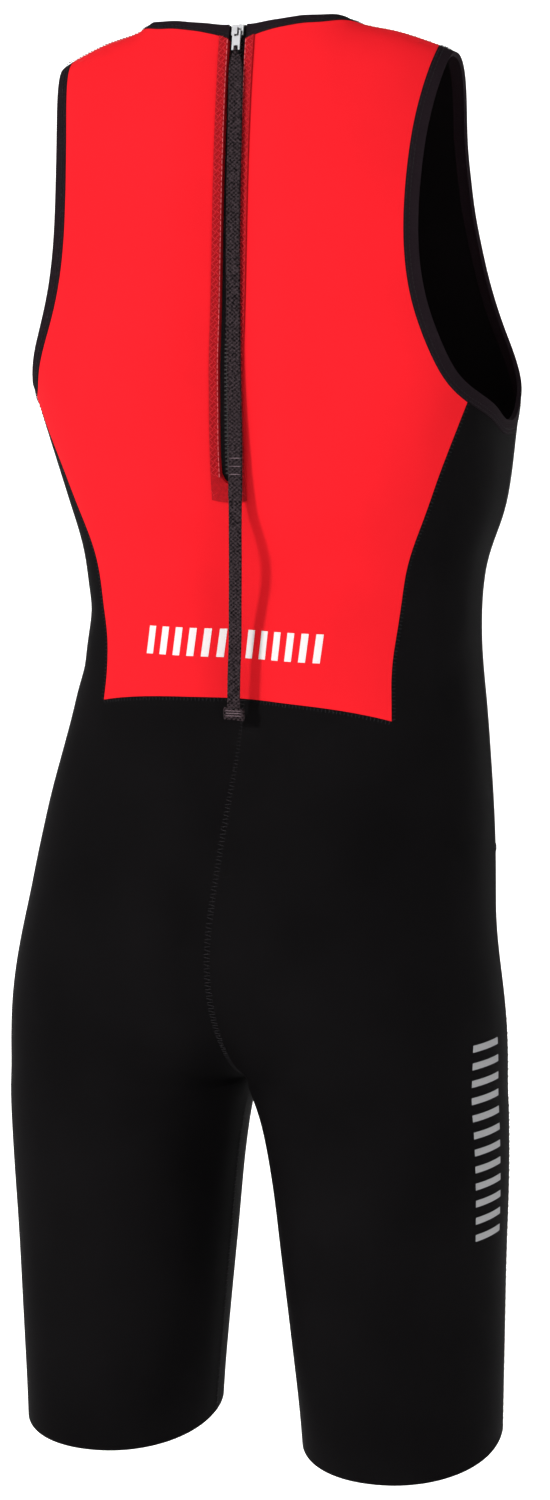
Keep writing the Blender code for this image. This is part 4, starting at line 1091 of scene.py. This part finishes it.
@lru_cache(maxsize=None)
def finish(kind):
    """The finish of one kind of surface, made once."""
    cloth, zipper = cloth_look(), zip_look()
    if kind == "red":
        return cloth_material("red_jersey", tuple(cloth.red), knit_group(), spread=0.05, sheen=0.0)
    if kind == "black":
        return cloth_material("black_jersey", tuple(cloth.black), knit_group(), spread=0.25,
                              sheen=0.0)
    if kind == "binding":
        return cloth_material("binding_tape", tuple(cloth.binding), woven_group(), 0.7, 0.0)
    if kind == "thread":
        return cloth_material("seam_thread", tuple(cloth.thread), woven_group(), 0.55, 0.02,
                              settings=FINE_THREAD)
    if kind == "strip":
        return cloth_material("zip_strip_tape", tuple(zipper.strip), woven_group(), 0.75, 0.0,
                              spread=0.2)
    if kind == "strip_thread":
        return cloth_material("zigzag_thread", tuple(zipper.strip_thread), woven_group(), 0.6, 0.0,
                              settings=FINE_THREAD)
    if kind == "edge_thread":
        return cloth_material("slit_thread", tuple(zipper.edge_thread), woven_group(), 0.6, 0.0,
                              settings=FINE_THREAD)
    if kind == "tape":
        return cloth_material("zip_tape_weave", tuple(zipper.tape), woven_group(), 0.8, 0.02)
    if kind == "teeth":
        return cloth_material("zip_teeth", tuple(zipper.tape), woven_group(), 0.35, 0.0, bump=0.05,
                              gloss=0.35)
    if kind == "webbing":
        return cloth_material("leash_webbing", tuple(zipper.webbing), woven_group(), 0.7, 0.02,
                              bump=0.8, spread=0.85,
                              settings=(("Ribs per metre", 330.0), ("Rows per metre", 400.0)))
    if kind == "webbing_thread":
        return cloth_material("leash_thread", tuple(6 * c for c in zipper.webbing), woven_group(),
                              0.6, 0.0, settings=FINE_THREAD)
    if kind == "metal":
        return metal_material("plated_metal", tuple(zipper.metal))
    colour = cloth.print_white if kind == "print_white" else cloth.print_grey
    return cloth_material(kind, tuple(colour), knit_group(), 0.5, 0.0, bump=0.12, spread=0.06)


def declare_cloth(obj, name, extras=()):
    cut = CUTS[name]


def seam_curves():
    """Every seam of the left half as a line of angle and level, by name."""
    grids = all_grids()

    def column(name, k):
        return [row[k] for row in grids[name]]

    return {
        "side": column("side_back", -1) + column("seat", -1)[1:] + column("thigh_back", -1)[1:],
        "back_side": column("side_back", 0),
        "back_foot": grids["back_lower"][-1],
        "seat": column("seat", 0),
        "inner_leg": column("thigh_back", 0),
        "hip": grids["hip_front"][-1],
        "fork": column("groin", -1),
        "shoulder": grids["back_upper"][0][NECK_CELLS:],
    }


def walk(curve, side, pitch):
    """Places, ways along and ways out at even steps along a line on the cloth."""
    spots = np.array([skin(a, max(l, 0.0), side) for a, l in curve])
    run = np.concatenate(([0], np.cumsum(np.linalg.norm(np.diff(spots, axis=0), axis=1))))
    arr = np.array(curve)
    count = max(int(run[-1] / pitch), 2)
    steps = (np.arange(count) + 0.5) * run[-1] / count
    angles, levels = np.interp(steps, run, arr[:, 0]), np.interp(steps, run, arr[:, 1])
    places = np.array([skin(a, l, side) for a, l in zip(angles, levels)])
    outs = np.array([normal(a, l, side) for a, l in zip(angles, levels)])
    along = np.gradient(places, axis=0)
    along /= np.linalg.norm(along, axis=1)[:, None]
    places = places - outs * crease_depth(places)[:, None]
    return places, along, outs


def bridge(mesh, a, b):
    """Faces all the way round between two rings of as many points."""
    count = len(a)
    for k in range(count):
        mesh.faces.new((a[k], a[(k + 1) % count], b[(k + 1) % count], b[k]))


def add_stitch(mesh, place, way, out, length, thick):
    """One stitch as a low domed bar."""
    across = np.cross(out, way)
    half, side, high = length / 2, thick / 2, thick * 0.55
    rings = []
    for t, scale in ((-1.0, 0.5), (-0.6, 1.0), (0.6, 1.0), (1.0, 0.5)):
        centre = place + way * half * t
        rings.append([mesh.verts.new(centre + across * side * u * scale + out * high * w * scale)
                      for u, w in ((-1, -0.4), (-0.6, 0.8), (0.6, 0.8), (1, -0.4))])
    for a, b in zip(rings, rings[1:]):
        bridge(mesh, a, b)
    mesh.faces.new(rings[0][::-1])
    mesh.faces.new(rings[-1])


def cross_stitches(mesh, curve, side, pitch, span, lift=0.0, thick=0.0006, lean=0.0, shift=0.0):
    """Stitches that cross a line, each leaning a little the other way if lean is given."""
    places, along, outs = walk(curve, side, pitch)
    for k, (place, way, out) in enumerate(zip(places, along, outs)):
        across = np.cross(out, way)
        tilt = lean if k % 2 else -lean
        bar = across * math.cos(tilt) + way * math.sin(tilt)
        add_stitch(mesh, place + out * lift + across * shift * side, bar, out,
                   span / math.cos(tilt), thick)


def run_stitches(mesh, curve, side, pitch, lift, thick=0.0006):
    """A row of stitches along a line."""
    places, along, outs = walk(curve, side, pitch)
    for place, way, out in zip(places, along, outs):
        add_stitch(mesh, place + out * lift, way, out, pitch * 0.72, thick)


def between(row_a, row_b, share):
    return [(1 - share) * np.array(a) + share * np.array(b) for a, b in zip(row_a, row_b)]


class WETSUIT_OT_cloth(bpy.types.Operator):
    """Build the neoprene panels over their solids"""
    bl_idname = "wetsuit.cloth"
    bl_label = "Cloth panels"

    def execute(self, context):
        grids, wall = all_grids(), cloth_look().wall / MM
        panels = {name: Wall(wall) for name in (
            "back_panel", "rear_left", "rear_right", "front_panel", "front_leg_left",
            "front_leg_right")}
        for side, word in ((1, "left"), (-1, "right")):
            for name in ("back_upper", "back_lower"):
                panels["back_panel"].add(grids[name], side)
            for name in ("side_back", "seat", "thigh_back"):
                panels["rear_" + word].add(grids[name], side)
            for name in ("front_upper", "side_front", "front_lower", "hip_front"):
                panels["front_panel"].add(grids[name], side)
            for name in ("groin", "thigh_front"):
                panels["front_leg_" + word].add(grids[name], side)
        for name, panel in panels.items():
            kind = "red" if name == "back_panel" else "black"
            obj = panel.build(name + "_cloth", finish(kind))
            slot = {"back": "red_neoprene", "rear": "black_neoprene"}.get(
                name.split("_")[0], "front_neoprene")
            settle(obj, SUIT, slot, name)
            declare_cloth(obj, name)
        return {"FINISHED"}


class WETSUIT_OT_bindings(bpy.types.Operator):
    """Build the neck and armhole bindings with their stitch rows"""
    bl_idname = "wetsuit.bindings"
    bl_label = "Bindings"

    def execute(self, context):
        grids = all_grids()

        def fuller(band):
            return [between(band[0], band[1], share) for share in (0.0, 0.12, 0.5, 0.88, 1.0)]

        stitches = bmesh.new()
        neck = Wall(BIND_WALL, 0.1)
        for side, word in ((1, "left"), (-1, "right")):
            hole = Wall(BIND_WALL, 0.1).add(fuller(grids["hole_band"]), side)
            obj = hole.build("armhole_binding_" + word + "_tape", finish("binding"))
            settle(obj, SUIT, "binding", "armhole_binding_" + word)
            declare_cloth(obj, "armhole_binding")
            for name in ("neck_band_back", "neck_band_front"):
                neck.add(fuller(grids[name]), side)
            for name in ("hole_band", "neck_band_back", "neck_band_front"):
                for share in (0.62, 0.86):
                    run_stitches(stitches, between(*grids[name], share), side, 0.0028, 0.0002,
                                 0.0005)
        obj = neck.build("neck_binding_tape", finish("binding"))
        settle(obj, SUIT, "binding", "neck_binding")
        declare_cloth(obj, "neck_binding")
        settle(to_object(stitches, "binding_stitches", finish("thread")), SUIT, "binding")
        return {"FINISHED"}


class WETSUIT_OT_seams(bpy.types.Operator):
    """Sew the flat seams between the panels"""
    bl_idname = "wetsuit.seams"
    bl_label = "Seam stitches"

    def execute(self, context):
        look, mesh = cloth_look(), bmesh.new()
        for name, curve in seam_curves().items():
            sides = (1,) if name in ("seat", "fork") else (1, -1)
            edge = SEAM_SHIFTS.get(name, 0.0)
            span = look.stitch_span / 2 if edge else look.stitch_span
            for side in sides:
                cross_stitches(mesh, curve, side, look.stitch_pitch, span, 0.0001, lean=0.18,
                               shift=edge)
        settle(to_object(mesh, "seam_stitches", finish("thread")), SUIT, "black_neoprene")
        return {"FINISHED"}


class WETSUIT_OT_zip(bpy.types.Operator):
    """Build the stitched strip, the tape and the teeth of the zip"""
    bl_idname = "wetsuit.zip"
    bl_label = "Zip"

    def execute(self, context):
        grids = all_grids()
        upper, lower = grids["back_upper"], grids["back_lower"][:SLIT_ROWS + 2]
        levels = [row[0][1] for row in upper] + [row[0][1] for row in lower[1:]]
        strip_x = SLIT_HALF + STRIP_WIDTH
        tape_levels = [grids["neck_band_back"][0][0][1]] + levels
        under = [[(0.0, l), (slit_angle(l), l), (slit_angle(l, strip_x), l)] for l in tape_levels]
        under[0][0] = (0.0, tape_levels[0] + TAPE_DIP)
        strip = Wall(STRIP_WALL, SEAM_GAP + STRIP_WALL)
        tape = Wall(TAPE_WALL, -WALL - SEAM_GAP)
        zigzag, edging = bmesh.new(), bmesh.new()
        pitch = zip_look().zigzag_pitch
        down = [row[0] for row in upper] + [row[0] for row in lower[1:3]]
        aside = [row[1] for row in upper] + [row[1] for row in lower[1:3]]
        for side in (1, -1):
            strip.add(upper, side, cols=(0, 1)).add(lower, side, cols=(0, 1))
            tape.add(under, side)
            for share, span in ((0.3, 0.0026), (0.72, 0.0026)):
                cross_stitches(zigzag, between(down, aside, share), side, pitch, span, 0.0015,
                               0.0006, lean=0.7)
            run_stitches(edging, between(down, aside, 0.07), side, 0.0034, 0.0014, 0.0006)
            foot = between(grids["back_lower"][SLIT_ROWS], grids["back_lower"][SLIT_ROWS + 1], 0.6)
            cross_stitches(zigzag, foot[:2], side, pitch, 0.0035, 0.0013, 0.0005, lean=0.7)
        for wall, name, kind in ((strip, "zip_strip", "strip"), (tape, "zip_tape", "tape")):
            obj = settle(wall.build(name + "_band", finish(kind)), SUIT, name, name)
            declare_cloth(obj, name)
        settle(to_object(zigzag, "zip_strip_zigzag", finish("strip_thread")), SUIT, "zip_strip")
        settle(to_object(edging, "zip_strip_edging", finish("edge_thread")), SUIT, "zip_strip")
        self.teeth(SLIDER_LEVEL, levels[-3])
        return {"FINISHED"}

    def teeth(self, first, last):
        """Moulded teeth that mesh from both sides of the closed zip."""
        mesh = bmesh.new()
        pitch = zip_look().tooth_pitch
        centre = CHAIN_WALL / 2 + SEAM_GAP - WALL - SEAM_GAP
        count = int((last - first) * MM / pitch)
        for k in range(count):
            for side in (1, -1):
                level = first + (k + (0.25 if side > 0 else 0.75)) * pitch / MM
                left, right = skin(slit_angle(level), level, 1), skin(slit_angle(level), level, -1)
                out = normal(slit_angle(level), level, 1) + normal(slit_angle(level), level, -1)
                out /= np.linalg.norm(out)
                across = (left - right) / np.linalg.norm(left - right) * side
                along = np.cross(out, across)
                place = (left + right) / 2 + out * centre * MM + across * 0.0007
                for t, wide, high in ((-1, 1.0, 1.0), (0.2, 0.8, 0.9), (1, 1.15, 1.0)):
                    ring = [mesh.verts.new(place - across * 0.0018 * t + along * a * wide * 0.00052
                                           + out * b * high * 0.0008)
                            for a, b in ((-1, -0.9), (1, -0.9), (1, 0.5), (0.6, 1), (-0.6, 1),
                                         (-1, 0.5))]
                    if t > -1:
                        bridge(mesh, before, ring)
                    else:
                        mesh.faces.new(ring[::-1])
                    before = ring
                mesh.faces.new(before)
        bmesh.ops.recalc_face_normals(mesh, faces=mesh.faces)
        settle(to_object(mesh, "zip_chain_teeth", finish("teeth")), SUIT, "zip_teeth", "zip_chain")


class WETSUIT_OT_slider(bpy.types.Operator):
    """Round and plate the slider and its tab"""
    bl_idname = "wetsuit.slider"
    bl_label = "Slider and tab"

    def execute(self, context):
        for name in ("slider", "pull_tab"):
            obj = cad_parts[name]
            for part in obj.material_slots:
                part.material = finish("metal")
            edge = obj.modifiers.new("edge", "BEVEL")
            edge.width, edge.segments, edge.limit_method = 0.0005, 3, "ANGLE"
        return {"FINISHED"}


def strap_rows(rows, steps):
    """A strap's rows joined by a smooth curve, with the given steps between each two."""
    values = np.array(rows, dtype=float)
    padded = np.vstack((2 * values[0] - values[1], values, 2 * values[-1] - values[-2]))
    out = []
    for k in range(1, len(padded) - 2):
        p0, p1, p2, p3 = padded[k - 1:k + 3]
        for s in range(steps):
            t = s / steps
            row = curve_step(p0, p1, p2, p3, t)
            out.append(Strap(*row[:3], *(p1 + (p2 - p1) * t)[3:]))
    out.append(Strap(*values[-1]))
    return out


def strap_mesh(rows):
    """A flat strap with rounded edges; its width lies across the wearer's back."""
    mesh, rings = bmesh.new(), []
    spots = [Vector((row.x, row.y, row.z)) * MM for row in rows]
    outline = ((-1, -0.35), (-0.9, -1), (-0.35, -1.0), (0.35, -1.0), (0.9, -1), (1, -0.35),
               (1, 0.35), (0.9, 1), (0.35, 1.0), (-0.35, 1.0), (-0.9, 1), (-1, 0.35))
    for k, row in enumerate(rows):
        along = (spots[min(k + 1, len(spots) - 1)] - spots[max(k - 1, 0)]).normalized()
        across = Vector((1, 0, 0))
        across = (across - along * along.dot(across)).normalized()
        out = along.cross(across)
        half, deep = row.width / 2 * MM, row.thick / 2 * MM
        rings.append([mesh.verts.new(spots[k] + across * u * half + out * w * deep)
                      for u, w in outline])
    for a, b in zip(rings, rings[1:]):
        bridge(mesh, a, b)
    mesh.faces.new(rings[0][::-1])
    mesh.faces.new(rings[-1])
    bmesh.ops.recalc_face_normals(mesh, faces=mesh.faces)
    return mesh


class WETSUIT_OT_leash(bpy.types.Operator):
    """Build the webbing leash, its loop on the tab, its stitching and its folded end"""
    bl_idname = "wetsuit.leash"
    bl_label = "Leash"

    def execute(self, context):
        rows = strap_rows(LEASH, 6)
        path = [tuple(v * MM for v in row[:3]) for row in rows]
        leash = settle(to_object(strap_mesh(rows), "leash_webbing", finish("webbing")), PULL,
                       "webbing", "leash")
        end_rows = strap_rows((LEASH_END[0]._replace(width=12.6, thick=2.0),
                               LEASH_END[0]._replace(z=LEASH_END[0].z - 1.0), LEASH_END[1]._replace(
                                   z=LEASH_END[1].z + 1.0),
                               LEASH_END[1]._replace(width=12.6, thick=2.0)), 2)
        fold = settle(to_object(strap_mesh(end_rows), "leash_fold", finish("webbing")), PULL,
                      "webbing", "leash_end")
        bars = bmesh.new()
        for row in rows:
            if not LEASH_SEWN_FROM < -row.z < LEASH_SEWN_TO:
                continue
            for sign in (1, -1):
                place = np.array((row.x, row.y + sign * row.thick / 2, row.z)) * MM
                add_stitch(bars, place, np.array((1.0, 0, 0)), np.array((0, float(sign), 0)),
                           LEASH_STITCH, STITCH_THICK)
        for drop in (1.6, 3.2, 4.8):
            spot = LEASH_END[0]
            place = np.array((spot.x - 0.05 * drop, spot.y + spot.thick / 2, spot.z - drop)) * MM
            add_stitch(bars, place, np.array((1.0, 0, 0)), np.array((0, 1.0, 0)), END_STITCH,
                       STITCH_THICK)
        stitches = settle(to_object(bars, "leash_stitches", finish("webbing_thread")), PULL,
                          "webbing")
        loop = settle(self.loop(), PULL, "webbing")
        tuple(path[0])
        return {"FINISHED"}

    def loop(self):
        """The thin loop that passes through the tab's opening and into the webbing's top."""
        slot, bar = tab_place(TAB_SLOT), tab_place(TAB_FOOT)
        low = Vector((LEASH[0].x, LEASH[0].y, LEASH[0].z)) * MM
        out = Vector((1, 0, 0)).cross(bar - slot).normalized()
        turns, sides, points = 32, 8, []
        middle, half = (slot + low) / 2, (slot - low).length / 2 + 0.0006
        along = (slot - low).normalized()
        for k in range(turns):
            t = 2 * math.pi * k / turns
            points.append(middle + along * half * math.cos(t) + out * LOOP_DEEP * math.sin(t))
        mesh, rings = bmesh.new(), []
        for k, spot in enumerate(points):
            way = (points[(k + 1) % turns] - points[k - 1]).normalized()
            one = Vector((1, 0, 0))
            two = way.cross(one).normalized()
            rings.append([mesh.verts.new(spot + one * math.cos(a) * LOOP_WIDE
                                         + two * math.sin(a) * LOOP_THICK)
                          for a in (2 * math.pi * j / sides for j in range(sides))])
        for k in range(turns):
            bridge(mesh, rings[k], rings[(k + 1) % turns])
        bmesh.ops.recalc_face_normals(mesh, faces=mesh.faces)
        return to_object(mesh, "leash_loop", finish("webbing"))


def tab_place(along):
    """A place on the hanging tab's middle plane, by its distance up the zip from the slider."""
    angle = slit_angle(SLIDER_LEVEL)
    left, right = skin(angle, SLIDER_LEVEL, 1), skin(angle, SLIDER_LEVEL, -1)
    out = Vector(normal(angle, SLIDER_LEVEL, 1) + normal(angle, SLIDER_LEVEL, -1)).normalized()
    up = out.cross(Vector(right - left).normalized()).normalized()
    return Vector((left + right) / 2) + out * TAB_AXIS * MM + up * along * MM


class WETSUIT_OT_prints(bpy.types.Operator):
    """Lay the plain printed bars on the lower back and the right thigh"""
    bl_idname = "wetsuit.prints"
    bl_label = "Printed bars"

    def execute(self, context):
        now = context.evaluated_depsgraph_get()
        for name, bars, side, kind, slot, under in (
                ("back_bars", back_bars(), 1, "print_white", "red_neoprene", "back_panel"),
                ("thigh_bars", thigh_bars(), -1, "print_grey", "black_neoprene", "rear_right")):
            cloth = BVHTree.FromObject(bpy.data.objects[under + "_cloth"], now)
            film = Wall(PRINT_WALL, PRINT_LIFT, gap=0.0)
            for bar in bars:
                film.add(bar, side)
            settle(film.build(name, finish(kind), smooth=0, on=cloth), SUIT, slot)
        return {"FINISHED"}


def angle_at(x, level):
    """The angle on the back at which the cloth lies a distance to the wearer's left."""
    return math.copysign(slit_angle(level, abs(x)), x)


def back_bars(cells=4):
    """Slanting bars across the middle of the back, each a grid of angle and level."""
    for left in np.linspace(BACK_BAR_FROM, BACK_BAR_TO - BACK_BAR_WIDE, BACK_BAR_COUNT):
        grid = []
        for t in np.linspace(0, 1, cells + 1):
            level = level_of(BACK_BAR_TOP + (BACK_BAR_FOOT - BACK_BAR_TOP) * t)
            across = left + BACK_BAR_LEAN * t + np.linspace(0, BACK_BAR_WIDE, cells + 1)
            grid.append([(angle_at(x, level), level) for x in across])
        yield grid


def thigh_bars(cells=6):
    """Level bars down the outer thigh, each a grid of angle and level."""
    tops = np.linspace(THIGH_BAR_TOP, THIGH_BAR_FOOT + THIGH_BAR_TALL, THIGH_BAR_COUNT)
    for top in tops:
        grid = []
        for height in (top, top - THIGH_BAR_TALL / 2, top - THIGH_BAR_TALL):
            grid.append([(angle, level_of(height))
                         for angle in np.linspace(THIGH_BAR_FROM, THIGH_BAR_TO, cells + 1)])
        yield grid


class WETSUIT_OT_studio(bpy.types.Operator):
    """Set the floor, the soft light and the camera"""
    bl_idname = "wetsuit.studio"
    bl_label = "Studio"

    def execute(self, context):
        look = studio_look()
        context.scene.view_settings.view_transform = "Standard"
        self.backdrop(look)
        self.lights(look)
        self.camera(look)
        return {"FINISHED"}

    def backdrop(self, look):
        """A floor that curves up far behind the suit on every side."""
        mesh = bmesh.new()
        rings, turns, floor_height = [], 64, -1.12
        profile = [(0.01, 0.0), (2.0, 0.0), (5.0, 0.0), (7.0, 0.25), (8.4, 1.2), (9.0, 3.0),
                   (9.0, 7.0)]
        for reach, height in profile:
            rings.append([mesh.verts.new((reach * math.cos(a), reach * math.sin(a),
                                          floor_height + height))
                          for a in (2 * math.pi * k / turns for k in range(turns))])
        for a, b in zip(rings, rings[1:]):
            for k in range(turns):
                mesh.faces.new((a[k], b[k], b[(k + 1) % turns], a[(k + 1) % turns]))
        mesh.faces.new(rings[0])
        material = bpy.data.materials.new("studio_floor")
        material.use_nodes = True
        shader = material.node_tree.nodes["Principled BSDF"]
        shader.inputs["Base Color"].default_value = (*look.floor, 1.0)
        shader.inputs["Roughness"].default_value = 0.9
        shader.inputs["Emission Color"].default_value = (1.0, 1.0, 1.0, 1.0)
        shader.inputs["Emission Strength"].default_value = 0.45
        floor = to_object(mesh, "studio_floor", material)
        floor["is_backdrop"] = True

    def lights(self, look):
        world = bpy.data.worlds.new("studio")
        bpy.context.scene.world = world
        world.use_nodes = True
        backing = world.node_tree.nodes["Background"]
        backing.inputs["Color"].default_value = (1.0, 1.0, 1.0, 1.0)
        backing.inputs["Strength"].default_value = 0.5 * look.light
        for name, place, power, size in (
                ("key", (2.0, 2.9, 0.9), 112.0, 0.45), ("fill", (-3.0, 2.6, 0.6), 24.0, 2.6),
                ("front", (0.6, -3.4, 1.2), 40.0, 2.6)):
            data = bpy.data.lights.new(name, "AREA")
            data.energy, data.size = power * look.light, size
            lamp = bpy.data.objects.new(name, data)
            lamp.location = place
            aim = Vector((0, 0, -0.45)) - Vector(place)
            lamp.rotation_euler = aim.to_track_quat("-Z", "Y").to_euler()
            bpy.context.collection.objects.link(lamp)

    def camera(self, look):
        turn, pitch, height = math.radians(200), math.radians(7), -0.204
        frame_width, frame_height, focal, aim_x = 550, 1500, 3255, 259
        back = Vector((math.sin(turn), -math.cos(turn), 0))
        right = (-back).cross(Vector((0, 0, 1))).normalized()
        data = bpy.data.cameras.new("photo_view")
        data.sensor_width, data.lens = 36.0, 36.0 * focal / frame_height
        camera = bpy.data.objects.new("photo_view", data)
        offset = (frame_width / 2 - aim_x) / focal * look.distance
        camera.location = back * look.distance + Vector((0, 0, height)) + right * offset
        forward = -back * math.cos(pitch) - Vector((0, 0, math.sin(pitch)))
        camera.rotation_euler = forward.to_track_quat("-Z", "Y").to_euler()
        bpy.context.collection.objects.link(camera)
        bpy.context.scene.camera = camera


class WETSUIT_PT_panel(bpy.types.Panel):
    """Lists the wetsuit's steps"""
    bl_idname = "WETSUIT_PT_panel"
    bl_label = "Shorty wetsuit"
    bl_space_type = "VIEW_3D"
    bl_region_type = "UI"
    bl_category = "Wetsuit"

    def draw(self, context):
        for step in STEPS:
            self.layout.operator(step.bl_idname)
        for look in LOOKS:
            box = self.layout.box()
            for key in look.__annotations__:
                box.prop(getattr(context.scene, LOOKS[look]), key)


STEPS = (WETSUIT_OT_cloth, WETSUIT_OT_bindings, WETSUIT_OT_seams, WETSUIT_OT_zip,
         WETSUIT_OT_slider, WETSUIT_OT_leash, WETSUIT_OT_prints, WETSUIT_OT_studio)
LOOKS = {ClothLook: "wetsuit_cloth", ZipLook: "wetsuit_zip", StudioLook: "wetsuit_studio"}


def register():
    for cls in (*LOOKS, *STEPS, WETSUIT_PT_panel):
        bpy.utils.register_class(cls)
    for look, name in LOOKS.items():
        setattr(bpy.types.Scene, name, bpy.props.PointerProperty(type=look))


def unregister():
    for name in LOOKS.values():
        delattr(bpy.types.Scene, name)
    for cls in (WETSUIT_PT_panel, *STEPS, *LOOKS):
        bpy.utils.unregister_class(cls)


def main():
    register()
    bpy.ops.wetsuit.studio()
    bpy.ops.wetsuit.leash()
    bpy.ops.wetsuit.cloth()
    bpy.ops.wetsuit.bindings()
    bpy.ops.wetsuit.seams()
    bpy.ops.wetsuit.zip()
    bpy.ops.wetsuit.slider()
    bpy.ops.wetsuit.prints()
    boxes = {"cad": [list(map(float, corner)) for corner in CAD_BOX],
             "visual": [list(map(float, corner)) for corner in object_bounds()]}


if __name__ == "__main__":
    main()
